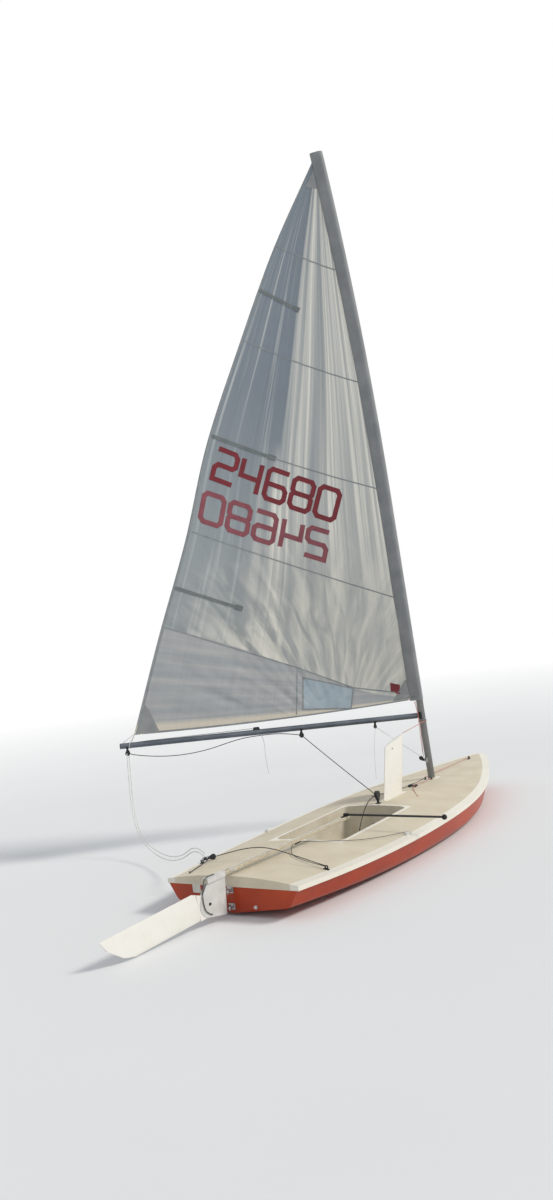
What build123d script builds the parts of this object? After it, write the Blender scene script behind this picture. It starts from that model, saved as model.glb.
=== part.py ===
from build123d import *
import os
from math import atan2, cos, degrees, radians, sin, sqrt, tan

# A one-person sailing dinghy with an unstayed two-part mast and one sail, in millimetres.
# x is measured forward from the transom, y to port and z up from the waterline.
# Every piece is shifted aft by half the length when it is written, so the origin is amidships.

# Overall
LOA = 4230
FIT = 0.3  # gap between two pieces that are seated on each other
RUNNING = 0.4  # radial gap round a pin or spar that turns

# Deck edge in side view: two arcs that meet, level, at the lowest point
SHEER_STERN_Z = 218
SHEER_LOW_X = 1050
SHEER_LOW_Z = 204.5
SHEER_BOW_Z = 325
CROWN_RADIUS = 3550  # arc of the deck from side to side
NOSE_RADIUS = 85  # bow seen from above

# Deck moulding: it hangs over the hull as a lip
LIP_DEPTH = 30
LIP_OUT = 13

# Cockpit
COCKPIT_AFT = 915
COCKPIT_FORE = 1985
COCKPIT_WIDTH = 598
COCKPIT_RIM_Z = 300  # where these sizes are measured, just above the deck
COCKPIT_AFT_RADIUS = 95
COCKPIT_FORE_RADIUS = 55
COCKPIT_FLOOR_Z = 10
COCKPIT_TAPER = 4  # degrees that the walls lean in towards the floor
SHELL = 5  # laminate of the well

# Mast
MAST_X = 3080
MAST_RAKE = 3.4  # degrees aft, lower mast
MAST_STEP_DEPTH = 280
LOWER_LENGTH = 2865
LOWER_RADIUS = 31.75
LOWER_WALL = 2.9
UPPER_RADIUS = 25.4
UPPER_WALL = 1.8
UPPER_SHOWING = 3258
UPPER_INSIDE = 339
MAST_BEND = 130  # how far the masthead is bent towards the boom's end
COLLAR_HEIGHT = 12
STEP_WALL = 4.5
STEP_RIM = 7  # the socket stands this proud of the deck

# Boom
SWING = 51.5  # degrees to port of the centreline
BOOM_RISE = 3.7  # degrees above square to the mast
GOOSENECK_HEIGHT = 591
GOOSENECK_OUT = LOWER_RADIUS + 4.25
GOOSENECK_PIN = 6
BOOM_START = 8
BOOM_LENGTH = 2735
BOOM_RADIUS = 25.4
BOOM_WALL = 1.6

# Sail, in the plane of mast and boom: x aft from the mast, z up the mast from the deck
SAIL_CLOTH = 3
SLEEVE_CLOTH = 3
SLEEVE_SLACK = 2.25  # between the sleeve and the lower mast
SLEEVE_RADIUS = LOWER_RADIUS + SLEEVE_SLACK + SLEEVE_CLOTH
SLEEVE_FOOT = 740
LUFF_AFT = 12  # the panel starts this far aft of the mast's centre line, inside the sleeve
# Columns: height at the luff, x and height at the leech, depth as a share of the width, droop
SAIL_SEAMS = [
    (745, 2633, 849, 0.035, 42),
    (905, 2278, 1682, 0.075, 0),
    (1550, 1900, 2515, 0.09, 0),
    (2560, 1572, 3348, 0.09, 0),
    (3590, 1148, 4181, 0.085, 0),
    (4690, 695, 5014, 0.07, 0),
    (5770, 196, 5790, 0.02, 0),
]

# Rudder, at the angle of helm in the photograph
GUDGEON_OUT = 30
HELM = 8  # degrees, tiller to starboard
PIVOT_AFT = 173
PIVOT_Z = 138
BLADE_LIFT = 85  # degrees up from hanging straight down
BLADE_THICKNESS = 19
BLADE_ROOT = 78
BLADE_FORE = 76
BLADE_CHORD = 180
# Blade hanging down, x forward and z up from its pivot: fore edge, tip, aft edge and shoulder
BLADE_OUTLINE = [
    (BLADE_FORE, 0),
    (BLADE_FORE, -610),
    (48, -700),
    (-33, -802),
    (-101, -841),
    (BLADE_FORE - BLADE_CHORD, -125),
    (-70, -45),
    (-70, 0),
]
BLADE_PLAY = 1  # between the blade and the two cheeks together
CHEEK = 3
CHEEK_RADIUS = 83
BOLT_RADIUS = 5
TILLER_SLOPE = 2.9
TILLER_LENGTH = 1476

# Daggerboard, raised
BOARD_RAKE = 17.5  # degrees, top forward
BOARD_FORE_X = 2470  # where its fore edge passes the deck
BOARD_CHORD = 310
BOARD_THICKNESS = 38
BOARD_LENGTH = 1110
BOARD_ABOVE = 516  # from the deck to the upper fore corner, as raised
BOARD_TOP_SLANT = 167  # the upper aft corner is this much lower
BOARD_TIP_ROUND = 60
BOARD_HEAD_ROUND = 14
BOARD_HOLE = (-208, 348)  # for the retaining line, from the fore edge and the deck
SLOT_CLEARANCE = 0.8

# Both boards are thickest at this share of their chord, and this share of that thickness is
# left at their aft edge
FULLEST = 0.32
TAIL = 0.15

# Hull sections, evenly spaced from transom to bow.
# Columns: half beam of the deck, chine y, chine z, keel z, bilge radius
STATIONS = [
    (541, 460, 76, 18, 60),
    (617, 542, 52, -28, 88),
    (668, 598, 32, -64, 112),
    (693, 624, 17, -88, 130),
    (696, 628, 11, -99, 138),
    (672, 600, 12, -99, 136),
    (601, 524, 20, -86, 122),
    (464, 384, 42, -60, 96),
    (282, 202, 92, -6, 62),
    (52, 20, 265, 245, 8),
]
SPACING = (LOA + 2) / (len(STATIONS) - 1)  # the last section stands just ahead of the rounded bow
TALL = 420  # beyond the top and the bottom of every section
WIDE = 1500


def sheer(x):
    """Height of the deck edge above the waterline."""
    end_x, end_z = (0, SHEER_STERN_Z) if x < SHEER_LOW_X else (LOA, SHEER_BOW_Z)
    run, rise = end_x - SHEER_LOW_X, end_z - SHEER_LOW_Z
    radius = (run**2 + rise**2) / (2 * rise)
    return SHEER_LOW_Z + radius - sqrt(radius**2 - (x - SHEER_LOW_X) ** 2)


def rounded(corner, first, second, radius):
    """Start, middle and end of the arc that rounds a corner between two lines."""
    to_first = (first - corner).normalized()
    to_second = (second - corner).normalized()
    half = radians(to_first.get_angle(to_second)) / 2
    run = radius / tan(half)
    middle = corner + (to_first + to_second).normalized() * (radius / sin(half) - radius)
    return corner + to_first * run, middle, corner + to_second * run


def hull_section(number, half_beam, chine_y, chine_z, keel_z, bilge):
    x = number * SPACING
    top_y = half_beam - LIP_OUT
    keel = Vector(x, 0, keel_z)
    sides = []
    for side in (1, -1):
        chine = Vector(x, side * chine_y, chine_z)
        top = Vector(x, side * top_y, sheer(x) - LIP_DEPTH)
        low, middle, high = rounded(chine, keel, top, bilge)
        lid_end = Vector(x, side * top_y, TALL)
        sides.append([Line(keel, low), ThreePointArc(low, middle, high), Line(high, top), Line(top, lid_end)])
    port, starboard = sides
    lid = Line((x, top_y, TALL), (x, -top_y, TALL))
    return Wire(port + [lid] + starboard[::-1])


def deck_section(number, half_beam, *_):
    x = number * SPACING
    crown = half_beam**2 / (2 * CROWN_RADIUS)
    edge = sheer(x)
    port, middle, starboard = (x, half_beam, edge), (x, 0, edge + crown), (x, -half_beam, edge)
    port_foot, starboard_foot = (x, half_beam, -TALL), (x, -half_beam, -TALL)
    return Wire(
        [
            ThreePointArc(port, middle, starboard),
            Line(starboard, starboard_foot),
            Line(starboard_foot, port_foot),
            Line(port_foot, port),
        ]
    )


def below_sheer(drop):
    """Everything lower than the deck edge moved down by drop."""
    ends = (-WIDE / 10, SHEER_LOW_X, LOA + WIDE / 10)
    low = -2 * TALL

    def point(x):
        return Vector(x, -WIDE, sheer(x) - drop)

    aft = ThreePointArc(point(ends[0]), point((ends[0] + ends[1]) / 2), point(ends[1]))
    fore = ThreePointArc(point(ends[1]), point((ends[1] + ends[2]) / 2), point(ends[2]))
    sides = Polyline(point(ends[2]), (ends[2], -WIDE, low), (ends[0], -WIDE, low), point(ends[0]))
    return extrude(Face(Wire([aft, fore] + sides.edges())), 2 * WIDE, dir=(0, 1, 0))


def behind_nose(radius):
    """Everything inside the round of the bow, as seen from above."""
    centre = LOA - NOSE_RADIUS
    tall = 4 * TALL
    return Pos(centre - LOA, 0, 0) * Box(2 * LOA, 2 * WIDE, tall) + Pos(centre, 0, 0) * Cylinder(radius, tall)


hull_block = Solid.make_loft([hull_section(number, *row) for number, row in enumerate(STATIONS)])
deck_block = Solid.make_loft([deck_section(number, *row) for number, row in enumerate(STATIONS)])


def well_outline(inset, z):
    """The cockpit's outline at a height, drawn in by inset on every side."""
    lean = (COCKPIT_RIM_Z - z) * tan(radians(COCKPIT_TAPER)) + inset
    length = COCKPIT_FORE - COCKPIT_AFT - 2 * lean
    outline = Pos((COCKPIT_AFT + COCKPIT_FORE) / 2, 0, z) * Rectangle(length, COCKPIT_WIDTH - 2 * lean)
    outline = fillet(outline.vertices().group_by(Axis.X)[0], COCKPIT_AFT_RADIUS - inset)
    outline = fillet(outline.vertices().group_by(Axis.X)[-1], COCKPIT_FORE_RADIUS - inset)
    return outline.wire()


def well(inset, floor_z):
    """The cockpit as a solid, down to floor_z."""
    return Solid.make_loft([well_outline(inset, COCKPIT_RIM_Z), well_outline(inset, floor_z)])


def slab(outline, thickness):
    """An outline in x and z, thickened evenly to both sides of the centreplane."""
    return extrude(Plane.XZ * outline, thickness / 2, both=True)


def foil(chord, thickness, grow=0):
    """A board's section, its fore edge at the origin and x forward, grown on every side."""
    fullest = -FULLEST * chord
    aft_edge = -chord - grow
    half, tail = thickness / 2 + grow, TAIL * thickness / 2 + grow
    nose = EllipticalCenterArc((fullest, 0), -fullest + grow, half, start_angle=-90, arc_size=180)
    port = TangentArc((fullest, half), (aft_edge, tail), tangent=(-1, 0))
    starboard = TangentArc((fullest, -half), (aft_edge, -tail), tangent=(-1, 0))
    return Face(Wire([nose, port, Line((aft_edge, tail), (aft_edge, -tail)), starboard]))


def tube(radius, wall, bottom, top):
    height = top - bottom
    ring = Circle(radius) - Circle(radius - wall)
    return extrude(Pos(0, 0, bottom) * ring, height)


# Places
board_up = Vector(sin(radians(BOARD_RAKE)), 0, cos(radians(BOARD_RAKE)))
board_fore = Vector(cos(radians(BOARD_RAKE)), 0, -sin(radians(BOARD_RAKE)))


def deck_height(x, y):
    """Top of the deck at a place, from the moulding itself."""
    hits = deck_block.find_intersection_points(Axis((x, y, 2 * TALL), (0, 0, -1)))
    return max(point.Z for point, _ in hits)


def on_deck(x, y, turn=0):
    """A plane on the deck, its z square to the surface and its x turned from forward."""
    step = 10
    z = deck_height(x, y)
    along = Vector(2 * step, 0, deck_height(x + step, y) - deck_height(x - step, y))
    across = Vector(0, 2 * step, deck_height(x, y + step) - deck_height(x, y - step))
    normal = along.cross(across).normalized()
    x_dir = along * cos(radians(turn)) + across * sin(radians(turn))
    return Plane(origin=Vector(x, y, z) + normal * FIT, x_dir=x_dir, z_dir=normal)


board_frame = Plane(
    origin=(BOARD_FORE_X, 0, deck_height(BOARD_FORE_X, 0)), x_dir=board_fore, z_dir=board_up
)
mast_axis = Vector(-sin(radians(MAST_RAKE)), 0, cos(radians(MAST_RAKE)))
mast_base = Vector(MAST_X, 0, deck_height(MAST_X, 0))
aft = (Vector(-1, 0, 0) - mast_axis * Vector(-1, 0, 0).dot(mast_axis)).normalized()
towards_boom = aft * cos(radians(SWING)) + Vector(0, 1, 0) * sin(radians(SWING))
rig_frame = Plane(origin=mast_base, x_dir=towards_boom, z_dir=mast_axis)
step_frame = Plane(origin=mast_base, x_dir=aft, z_dir=mast_axis)
rudder_frame = Plane(origin=(-GUDGEON_OUT, 0, 0)).rotated((0, 0, -HELM))


def placed(frame, shape):
    return frame.location * shape


# Hull, deck and what is let into them
def slot(clearance, length):
    """The daggerboard's passage, as a solid of the board's own section grown by clearance."""
    return placed(board_frame, extrude(foil(BOARD_CHORD, BOARD_THICKNESS, clearance), length, both=True))


def trunk():
    wall = slot(SLOT_CLEARANCE + STEP_WALL, 600) - slot(SLOT_CLEARANCE, 700)
    return wall & deck_block & hull_block


def trunk_hole():
    return slot(SLOT_CLEARANCE + STEP_WALL + FIT, 700)


def step_socket():
    bore = LOWER_RADIUS + RUNNING
    outside = bore + STEP_WALL
    floor = -MAST_STEP_DEPTH - FIT
    wall = tube(outside, STEP_WALL, floor, STEP_RIM)
    bottom = Pos(0, 0, floor - STEP_WALL / 2) * Cylinder(outside, STEP_WALL)
    return placed(step_frame, wall + bottom)


def step_hole():
    radius = LOWER_RADIUS + RUNNING + STEP_WALL + FIT
    depth = MAST_STEP_DEPTH + STEP_WALL + 2 * FIT
    return placed(step_frame, Pos(0, 0, TALL / 2 - depth / 2) * Cylinder(radius, depth + TALL))


def hull_moulding():
    solid = hull_block & below_sheer(LIP_DEPTH + FIT) & behind_nose(NOSE_RADIUS - LIP_OUT)
    return solid - well(0, COCKPIT_FLOOR_Z - SHELL - FIT) - trunk_hole() - step_hole()


def deck_moulding():
    solid = (deck_block - below_sheer(LIP_DEPTH)) & behind_nose(NOSE_RADIUS)
    return solid - well(0, COCKPIT_FLOOR_Z - SHELL - FIT) - trunk_hole() - step_hole()


def cockpit_well():
    outside = well(FIT, COCKPIT_FLOOR_Z - SHELL)
    inside = well(FIT + SHELL, COCKPIT_FLOOR_Z)
    return (outside - inside) & deck_block


# Small fittings, each standing on z = 0 at its own origin
def pad_eye(bore, height, thickness, base_length, base_width):
    """An upright ear with a hole across it, on a rounded base."""
    base = extrude(RectangleRounded(base_length, base_width, base_width / 2 - 0.5), thickness / 2)
    outer = bore + thickness / 1.2
    foot = Pos(0, thickness / 2) * Rectangle(2 * outer, 1)
    ear = make_hull((Pos(0, height) * Circle(outer) + foot).edges())
    return base + slab(ear, thickness) - slab(Pos(0, height) * Circle(bore), 2 * thickness)


def jam_cleat(length, width, height):
    """A cleat with a vee groove along its top and sloping ends."""
    foot, top = length / 2, (length - height) / 2
    side = make_face(Polyline((-foot, 0), (foot, 0), (top, height), (-top, height), close=True))
    mouth, over = 0.28 * width, 1.1 * height
    groove = make_face(Polyline((0, 0.45 * height), (mouth, over), (-mouth, over), close=True))
    return slab(side, width) - extrude(Plane.YZ * groove, length, both=True)


def block(sheave, width=18):
    """A pulley block that hangs from the eye at its origin, with its axle along y."""
    drop = sheave + 13
    cheek_outline = make_hull((Pos(0, -drop) * Circle(sheave + 3) + Circle(8)).edges())
    cheek = 3
    body = Part()
    for side in (1, -1):
        body += Pos(0, side * (width - cheek) / 2, 0) * slab(cheek_outline, cheek)
    wheel = Pos(0, 0, -drop) * Rot(90, 0, 0) * Cylinder(sheave, width)
    groove = Pos(0, 0, -drop) * Rot(90, 0, 0) * Torus(sheave + 1, width / 2 - cheek)
    head = Rot(90, 0, 0) * Cylinder(8, width)
    return body + (wheel - groove) + head - Rot(90, 0, 0) * Cylinder(4, 2 * width)


TRAVELLER_EYE = (360, 525)
SIDE_CLEAT = (1320, 630)
BOW_EYE_X = 3955
DECK_CLEATS_X = 2690
MAINSHEET_BLOCK_X = 2045


def pair_on_deck(piece, x, y, turn=0):
    """The same piece on both sides of the deck."""
    return Compound([placed(on_deck(x, side * y, side * turn), piece) for side in (1, -1)])


def traveller_block():
    """Two blocks head to head, lying beside the port eye where the rope has drawn them."""
    pair = block(17) + Rot(0, 0, 90) * Rot(180, 0, 0) * block(17)
    lying = Pos(0, 0, 20) * Rot(90, 0, 0) * pair
    return placed(on_deck(TRAVELLER_EYE[0] + 70, TRAVELLER_EYE[1] - 10, 35), lying)


def mainsheet_block():
    """The ratchet block that stands on a spring in front of the cockpit."""
    sheave, spring_height = 28, 26
    base = Pos(0, 0, 2) * Cylinder(24, 4)
    spring = Pos(0, 0, 4 + spring_height / 2) * Cylinder(11, spring_height)
    return base + spring + Pos(0, 0, 4 + spring_height + 4) * Rot(180, 0, 0) * block(sheave, 24)


def hiking_strap():
    """A webbing strap along the cockpit, held at both ends by pads on the walls."""
    rest_z, pad = 115, 2
    lean = tan(radians(COCKPIT_TAPER)) * (COCKPIT_RIM_Z - rest_z)
    inside = 2 * FIT + SHELL + lean + pad / 2
    ends = (COCKPIT_AFT + inside, COCKPIT_FORE - inside)
    sag = 22
    middle = ((ends[0] + ends[1]) / 2, rest_z - sag)
    top = ThreePointArc((ends[0], rest_z), middle, (ends[1], rest_z))
    low = ThreePointArc((ends[0], rest_z - 3), (middle[0], middle[1] - 3), (ends[1], rest_z - 3))
    sides = [Line((ends[0], rest_z - 3), (ends[0], rest_z)), Line((ends[1], rest_z - 3), (ends[1], rest_z))]
    strap = slab(Face(Wire([top, sides[1], low, sides[0]])), 50)
    for x, turn in zip(ends, (-COCKPIT_TAPER, COCKPIT_TAPER)):
        strap += Pos(x, 0, rest_z) * Rot(0, turn, 0) * Box(pad, 70, 40)
    return strap


BAILER_X = 1090


def self_bailer():
    """The metal bailer let into the cockpit floor, with its lid shut and its wire lever down."""
    plate = extrude(RectangleRounded(128, 48, 10), 2.4)
    lid = Pos(-6, 0, 2.4) * extrude(RectangleRounded(84, 32, 6), 1)
    lever = Pos(46, 0, 5.5) * Rot(90, 0, 0) * Cylinder(2.5, 26)
    feet = Pos(46, 0, 3.5) * (Pos(0, 12, 0) * Box(6, 3, 4) + Pos(0, -12, 0) * Box(6, 3, 4))
    return Pos(BAILER_X, 0, COCKPIT_FLOOR_Z + FIT) * (plate + lid + lever + feet)


BUNG_Y = -195
BUNG_Z = 68


def drain_bung():
    face = Rot(0, -90, 0)
    bung = Pos(-FIT - 3, 0, 0) * face * Cylinder(12, 6)
    grip = Pos(-FIT - 10, 0, 0) * face * Cylinder(7, 8)
    bar = Pos(-FIT - 12, 0, 0) * Box(4, 22, 5)
    return Pos(0, BUNG_Y, BUNG_Z) * (bung + grip + bar)


GUDGEON_HEIGHTS = (62, 168)
PIN_RADIUS = 4.8
GUDGEON_TALL = 18


def gudgeons():
    rings = []
    for z in GUDGEON_HEIGHTS:
        plate = Pos(-FIT - 1.5, 0, z) * Box(3, 52, 40)
        arm_end = Pos(-GUDGEON_OUT, 0) * Circle(11)
        arm = make_hull((arm_end + Pos(-FIT - 3, 0) * Rectangle(1, 34)).edges())
        lug = Pos(0, 0, z - GUDGEON_TALL / 2) * extrude(arm, GUDGEON_TALL)
        bore = Pos(-GUDGEON_OUT, 0, z) * Cylinder(PIN_RADIUS + RUNNING, 2 * GUDGEON_TALL)
        rings.append(plate + lug - bore)
    return Compound(rings)


# Rudder, drawn with its pintles' axis at the origin and forward along x
TILLER_ROOT_Z = 290
HEAD_WEB_X = -20
HEAD_FOOT_Z = 34
SOCKET_LENGTH = 158
SOCKET_WALL = 3
TILLER_WIDTH = 36
TILLER_DEPTH = 25
TILLER_ROUND = 5
HEAD_GAP = BLADE_THICKNESS + BLADE_PLAY
HEAD_WIDTH = HEAD_GAP + 2 * CHEEK
EXTENSION_RADIUS = 8
EXTENSION_KNOB = Vector(1569, -675, 320)


def tiller_frame():
    slope = radians(TILLER_SLOPE)
    forward, up = (cos(slope), 0, sin(slope)), (-sin(slope), 0, cos(slope))
    return Plane(origin=(0, 0, TILLER_ROOT_Z), x_dir=forward, z_dir=up)


def head_top(x):
    """Height of the cheeks' top edge, just inside the socket's floor."""
    floor = TILLER_DEPTH / 2 + FIT + SOCKET_WALL / 2
    return TILLER_ROOT_Z + x * tan(radians(TILLER_SLOPE)) - floor


def rudder_outline():
    """The cheek: straight in front, round about the blade's pivot behind."""
    high, low = radians(48), radians(5)
    aft_x = HEAD_WEB_X - SOCKET_LENGTH
    arc_top = (-PIVOT_AFT - CHEEK_RADIUS * cos(high), PIVOT_Z + CHEEK_RADIUS * sin(high))
    arc_middle = (-PIVOT_AFT - CHEEK_RADIUS, PIVOT_Z)
    arc_low = (-PIVOT_AFT - CHEEK_RADIUS * sin(low), PIVOT_Z - CHEEK_RADIUS * cos(low))
    foot = (HEAD_WEB_X - 18, HEAD_FOOT_Z)
    corners = [arc_low, foot, (HEAD_WEB_X, head_top(HEAD_WEB_X)), (aft_x, head_top(aft_x)), arc_top]
    return Face(Wire(Polyline(corners).edges() + [ThreePointArc(arc_top, arc_middle, arc_low)]))


def rudder_head():
    """Two cheeks joined by a web in front and by the tiller's socket on top."""
    cheeks = slab(rudder_outline(), HEAD_WIDTH) - slab(rudder_outline(), HEAD_GAP)
    web = slab(rudder_outline(), HEAD_GAP) & (Pos(HEAD_WEB_X - 14, 0, PIVOT_Z) * Box(28, HEAD_WIDTH, TALL))
    hollow_y, hollow_z = TILLER_WIDTH + 2 * FIT, TILLER_DEPTH + 2 * FIT
    outside = Box(SOCKET_LENGTH, hollow_y + 2 * SOCKET_WALL, hollow_z + 2 * SOCKET_WALL)
    socket = outside - Box(2 * SOCKET_LENGTH, hollow_y, hollow_z)
    head = cheeks + web + tiller_frame().location * Pos(HEAD_WEB_X - SOCKET_LENGTH / 2, 0, 0) * socket
    return head - Pos(-PIVOT_AFT, 0, PIVOT_Z) * Rot(90, 0, 0) * Cylinder(BOLT_RADIUS + FIT, 2 * HEAD_WIDTH)


def pintles():
    """Pins that drop into the gudgeons, on arms from the head's front edge."""
    pins = []
    head = slab(offset(rudder_outline(), FIT), WIDE)
    for z in GUDGEON_HEIGHTS:
        pin_top = z + GUDGEON_TALL / 2 + FIT
        pin_length = GUDGEON_TALL + 12
        pin = Pos(0, 0, pin_top - pin_length / 2) * Cylinder(PIN_RADIUS, pin_length)
        arm = make_hull((Circle(9) + Pos(HEAD_WEB_X - 12, 0) * Rectangle(30, 20)).edges())
        pins.append(pin + (Pos(0, 0, pin_top) * extrude(arm, 7) - head))
    return Compound(pins)


def blade_bolt():
    across = Rot(90, 0, 0)
    bolt = across * Cylinder(BOLT_RADIUS, HEAD_WIDTH + 2)
    for side in (1, -1):
        bolt += Pos(0, side * (HEAD_WIDTH / 2 + FIT + 2), 0) * across * Cylinder(9, 4)
    return Pos(-PIVOT_AFT, 0, PIVOT_Z) * bolt


def rudder_blade():
    """The blade, drawn hanging straight down from its pivot and then lifted."""
    outline = make_face(Polyline(*BLADE_OUTLINE, close=True)) + Circle(BLADE_ROOT)
    flat_foot = -CHEEK_RADIUS - 12
    section = Pos(BLADE_FORE, 0, flat_foot) * foil(BLADE_CHORD, BLADE_THICKNESS)
    flat = Pos(0, 0, flat_foot + TALL / 2) * Box(TALL, WIDE, TALL)
    faired = flat + extrude(section, 2 * TALL, dir=(0, 0, -1))
    blade = slab(outline, BLADE_THICKNESS) & faired
    blade -= Rot(90, 0, 0) * Cylinder(BOLT_RADIUS + RUNNING, TALL)
    return Pos(-PIVOT_AFT, 0, PIVOT_Z) * Rot(0, BLADE_LIFT, 0) * blade


def tiller():
    bar = Pos(TILLER_LENGTH / 2, 0, 0) * Box(TILLER_LENGTH, TILLER_WIDTH, TILLER_DEPTH)
    bar = fillet(bar.edges().filter_by(Axis.X), TILLER_ROUND)
    return tiller_frame().location * Pos(HEAD_WEB_X - SOCKET_LENGTH, 0, 0) * bar


def parts_of_extension():
    """The rubber universal joint on the tiller, the tube and the knob at its end."""
    plate_thick, reach = 4, 34
    tiller_end = TILLER_LENGTH + HEAD_WEB_X - SOCKET_LENGTH
    on_tiller = Vector(tiller_end - 36, 0, TILLER_DEPTH / 2 + FIT + plate_thick / 2)
    plate_at = tiller_frame().from_local_coords(on_tiller)
    pivot = plate_at + Vector(0, 0, plate_thick / 2 + 10)
    along = (EXTENSION_KNOB - pivot).normalized()
    tube_start = pivot + along * 14
    length = (EXTENSION_KNOB - tube_start).length
    rod = Pos(0, 0, length / 2) * Cylinder(EXTENSION_RADIUS, length)
    rod = Plane(origin=tube_start, z_dir=along).location * rod
    plate = Pos(plate_at) * Rot(0, -TILLER_SLOPE, 0) * Box(62, 30, plate_thick)
    post = Pos(pivot - Vector(0, 0, 5)) * Cylinder(8, 11)
    rubber = EXTENSION_RADIUS + 3
    boot = Plane(origin=pivot, z_dir=along).location * Pos(0, 0, reach / 2) * Cylinder(rubber, reach)
    joint = plate + post + Pos(pivot) * Sphere(rubber) + boot - rod
    grip = Pos(EXTENSION_KNOB) * Sphere(20) - rod
    return joint, rod, grip


# Rig, drawn with the mast's foot on the deck at the origin, up the mast along z, boom towards x
JOINT_HEIGHT = LOWER_LENGTH - MAST_STEP_DEPTH
BEND_RADIUS = (UPPER_SHOWING**2 + MAST_BEND**2) / (2 * MAST_BEND)
BEND_CHORD = sqrt(2 * BEND_RADIUS * MAST_BEND - MAST_BEND**2)


def bend_point(arc_length):
    """A place on the mast's centre line, measured up from the joint."""
    turn = arc_length / BEND_RADIUS
    return Vector(BEND_RADIUS * (1 - cos(turn)), 0, JOINT_HEIGHT + BEND_RADIUS * sin(turn))


def luff_x(height):
    """How far the mast's centre line lies aft of its foot at a height."""
    above = max(0, height - JOINT_HEIGHT)
    return BEND_RADIUS - sqrt(BEND_RADIUS**2 - above**2)


def mast_path(bottom, top_arc):
    straight = Line((0, 0, bottom), (0, 0, JOINT_HEIGHT))
    arc = ThreePointArc(bend_point(0), bend_point(top_arc / 2), bend_point(top_arc))
    return Wire([straight, arc])


def along_mast(radius, bottom, top_arc):
    section = Pos(0, 0, bottom) * Circle(radius)
    return sweep(section, path=mast_path(bottom, top_arc))


def mast_lower():
    return tube(LOWER_RADIUS, LOWER_WALL, -MAST_STEP_DEPTH + 6 + FIT, JOINT_HEIGHT)


def mast_heel():
    cap = Pos(0, 0, -MAST_STEP_DEPTH + 3) * Cylinder(LOWER_RADIUS, 6)
    spigot = LOWER_RADIUS - LOWER_WALL - FIT
    return cap + Pos(0, 0, -MAST_STEP_DEPTH + 20) * Cylinder(spigot, 40)


def mast_upper():
    bottom = JOINT_HEIGHT - UPPER_INSIDE
    return along_mast(UPPER_RADIUS, bottom, UPPER_SHOWING) - along_mast(
        UPPER_RADIUS - UPPER_WALL, bottom, UPPER_SHOWING
    )


def mast_collars():
    """The ring that rests on the lower mast's top and the packing near the upper mast's foot."""
    inner = UPPER_RADIUS + FIT
    ring = Pos(0, 0, JOINT_HEIGHT + FIT) * extrude(Circle(LOWER_RADIUS) - Circle(inner), COLLAR_HEIGHT)
    packing_radius = LOWER_RADIUS - LOWER_WALL - FIT
    low = JOINT_HEIGHT - UPPER_INSIDE
    packing = Pos(0, 0, low) * extrude(Circle(packing_radius) - Circle(inner), 60)
    return Compound([ring, packing])


def masthead_cap():
    top = bend_point(UPPER_SHOWING)
    turn = degrees(UPPER_SHOWING / BEND_RADIUS)
    cap = Pos(0, 0, FIT + 3) * Cylinder(UPPER_RADIUS, 6)
    spigot = Pos(0, 0, -15) * Cylinder(UPPER_RADIUS - UPPER_WALL - FIT, 30 + 2 * FIT + 1)
    return Pos(top) * Rot(0, turn, 0) * (cap + spigot)


def sail_section(luff_z, leech_x, leech_z, depth, droop):
    luff = Vector(luff_x(luff_z) + LUFF_AFT, 0, luff_z)
    leech = Vector(leech_x, 0, leech_z)
    width = (leech - luff).length
    belly = Vector(0, -depth * width, -droop)
    middle = (luff + leech) * 0.5 + belly
    thick = belly.normalized() * SAIL_CLOTH
    return Wire(
        [
            ThreePointArc(luff, middle, leech),
            Line(leech, leech + thick),
            ThreePointArc(leech + thick, middle + thick, luff + thick),
            Line(luff + thick, luff),
        ]
    )


def sail():
    """Cloth from luff to leech, sewn to a sleeve that is closed over the masthead."""
    panel = Solid.make_loft([sail_section(*row) for row in SAIL_SEAMS], ruled=True)
    top = UPPER_SHOWING + 6 + 3 * FIT
    inner = SLEEVE_RADIUS - SLEEVE_CLOTH
    core = along_mast(inner, SLEEVE_FOOT - 1, top)
    return (panel - core) + (along_mast(SLEEVE_RADIUS, SLEEVE_FOOT, top + 4) - core)


def boom_frame():
    rise = radians(BOOM_RISE)
    along, up = (cos(rise), 0, sin(rise)), (-sin(rise), 0, cos(rise))
    return Plane(origin=(GOOSENECK_OUT, 0, GOOSENECK_HEIGHT), x_dir=along, z_dir=up)


def on_boom(shape):
    return boom_frame().location * shape


def boom():
    ring = Circle(BOOM_RADIUS) - Circle(BOOM_RADIUS - BOOM_WALL)
    cap = 6
    return on_boom(Pos(BOOM_START + cap, 0, 0) * extrude(Plane.YZ * ring, BOOM_LENGTH - 2 * cap))


def boom_caps():
    """Plugs in both ends of the boom; the front one is bored for the gooseneck's pin."""
    lengthways = Rot(0, 90, 0)
    spigot = BOOM_RADIUS - BOOM_WALL - FIT
    caps = []
    for start, inward in ((BOOM_START, 1), (BOOM_START + BOOM_LENGTH, -1)):
        disc = Pos(start + inward * 2.85, 0, 0) * lengthways * Cylinder(BOOM_RADIUS, 5.7)
        plug = Pos(start + inward * 20, 0, 0) * lengthways * Cylinder(spigot, 36)
        caps.append(disc + plug)
    bore = Pos(BOOM_START, 0, 0) * lengthways * Cylinder(GOOSENECK_PIN + FIT, 60)
    return on_boom(Compound([caps[0] - bore, caps[1]]))


VANG_EAR_HEIGHT = 176
EAR_OUT = 16  # from a spar to the hole of an ear on it
EAR_THICK = 4
EAR_BORE = 4
BOOM_EAR = 12
VANG_KEY = 406  # along the boom
MID_BLOCK = 1092
END_BLOCK = BOOM_START + BOOM_LENGTH - 63
CLEAT_ON_BOOM = 1500


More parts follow.
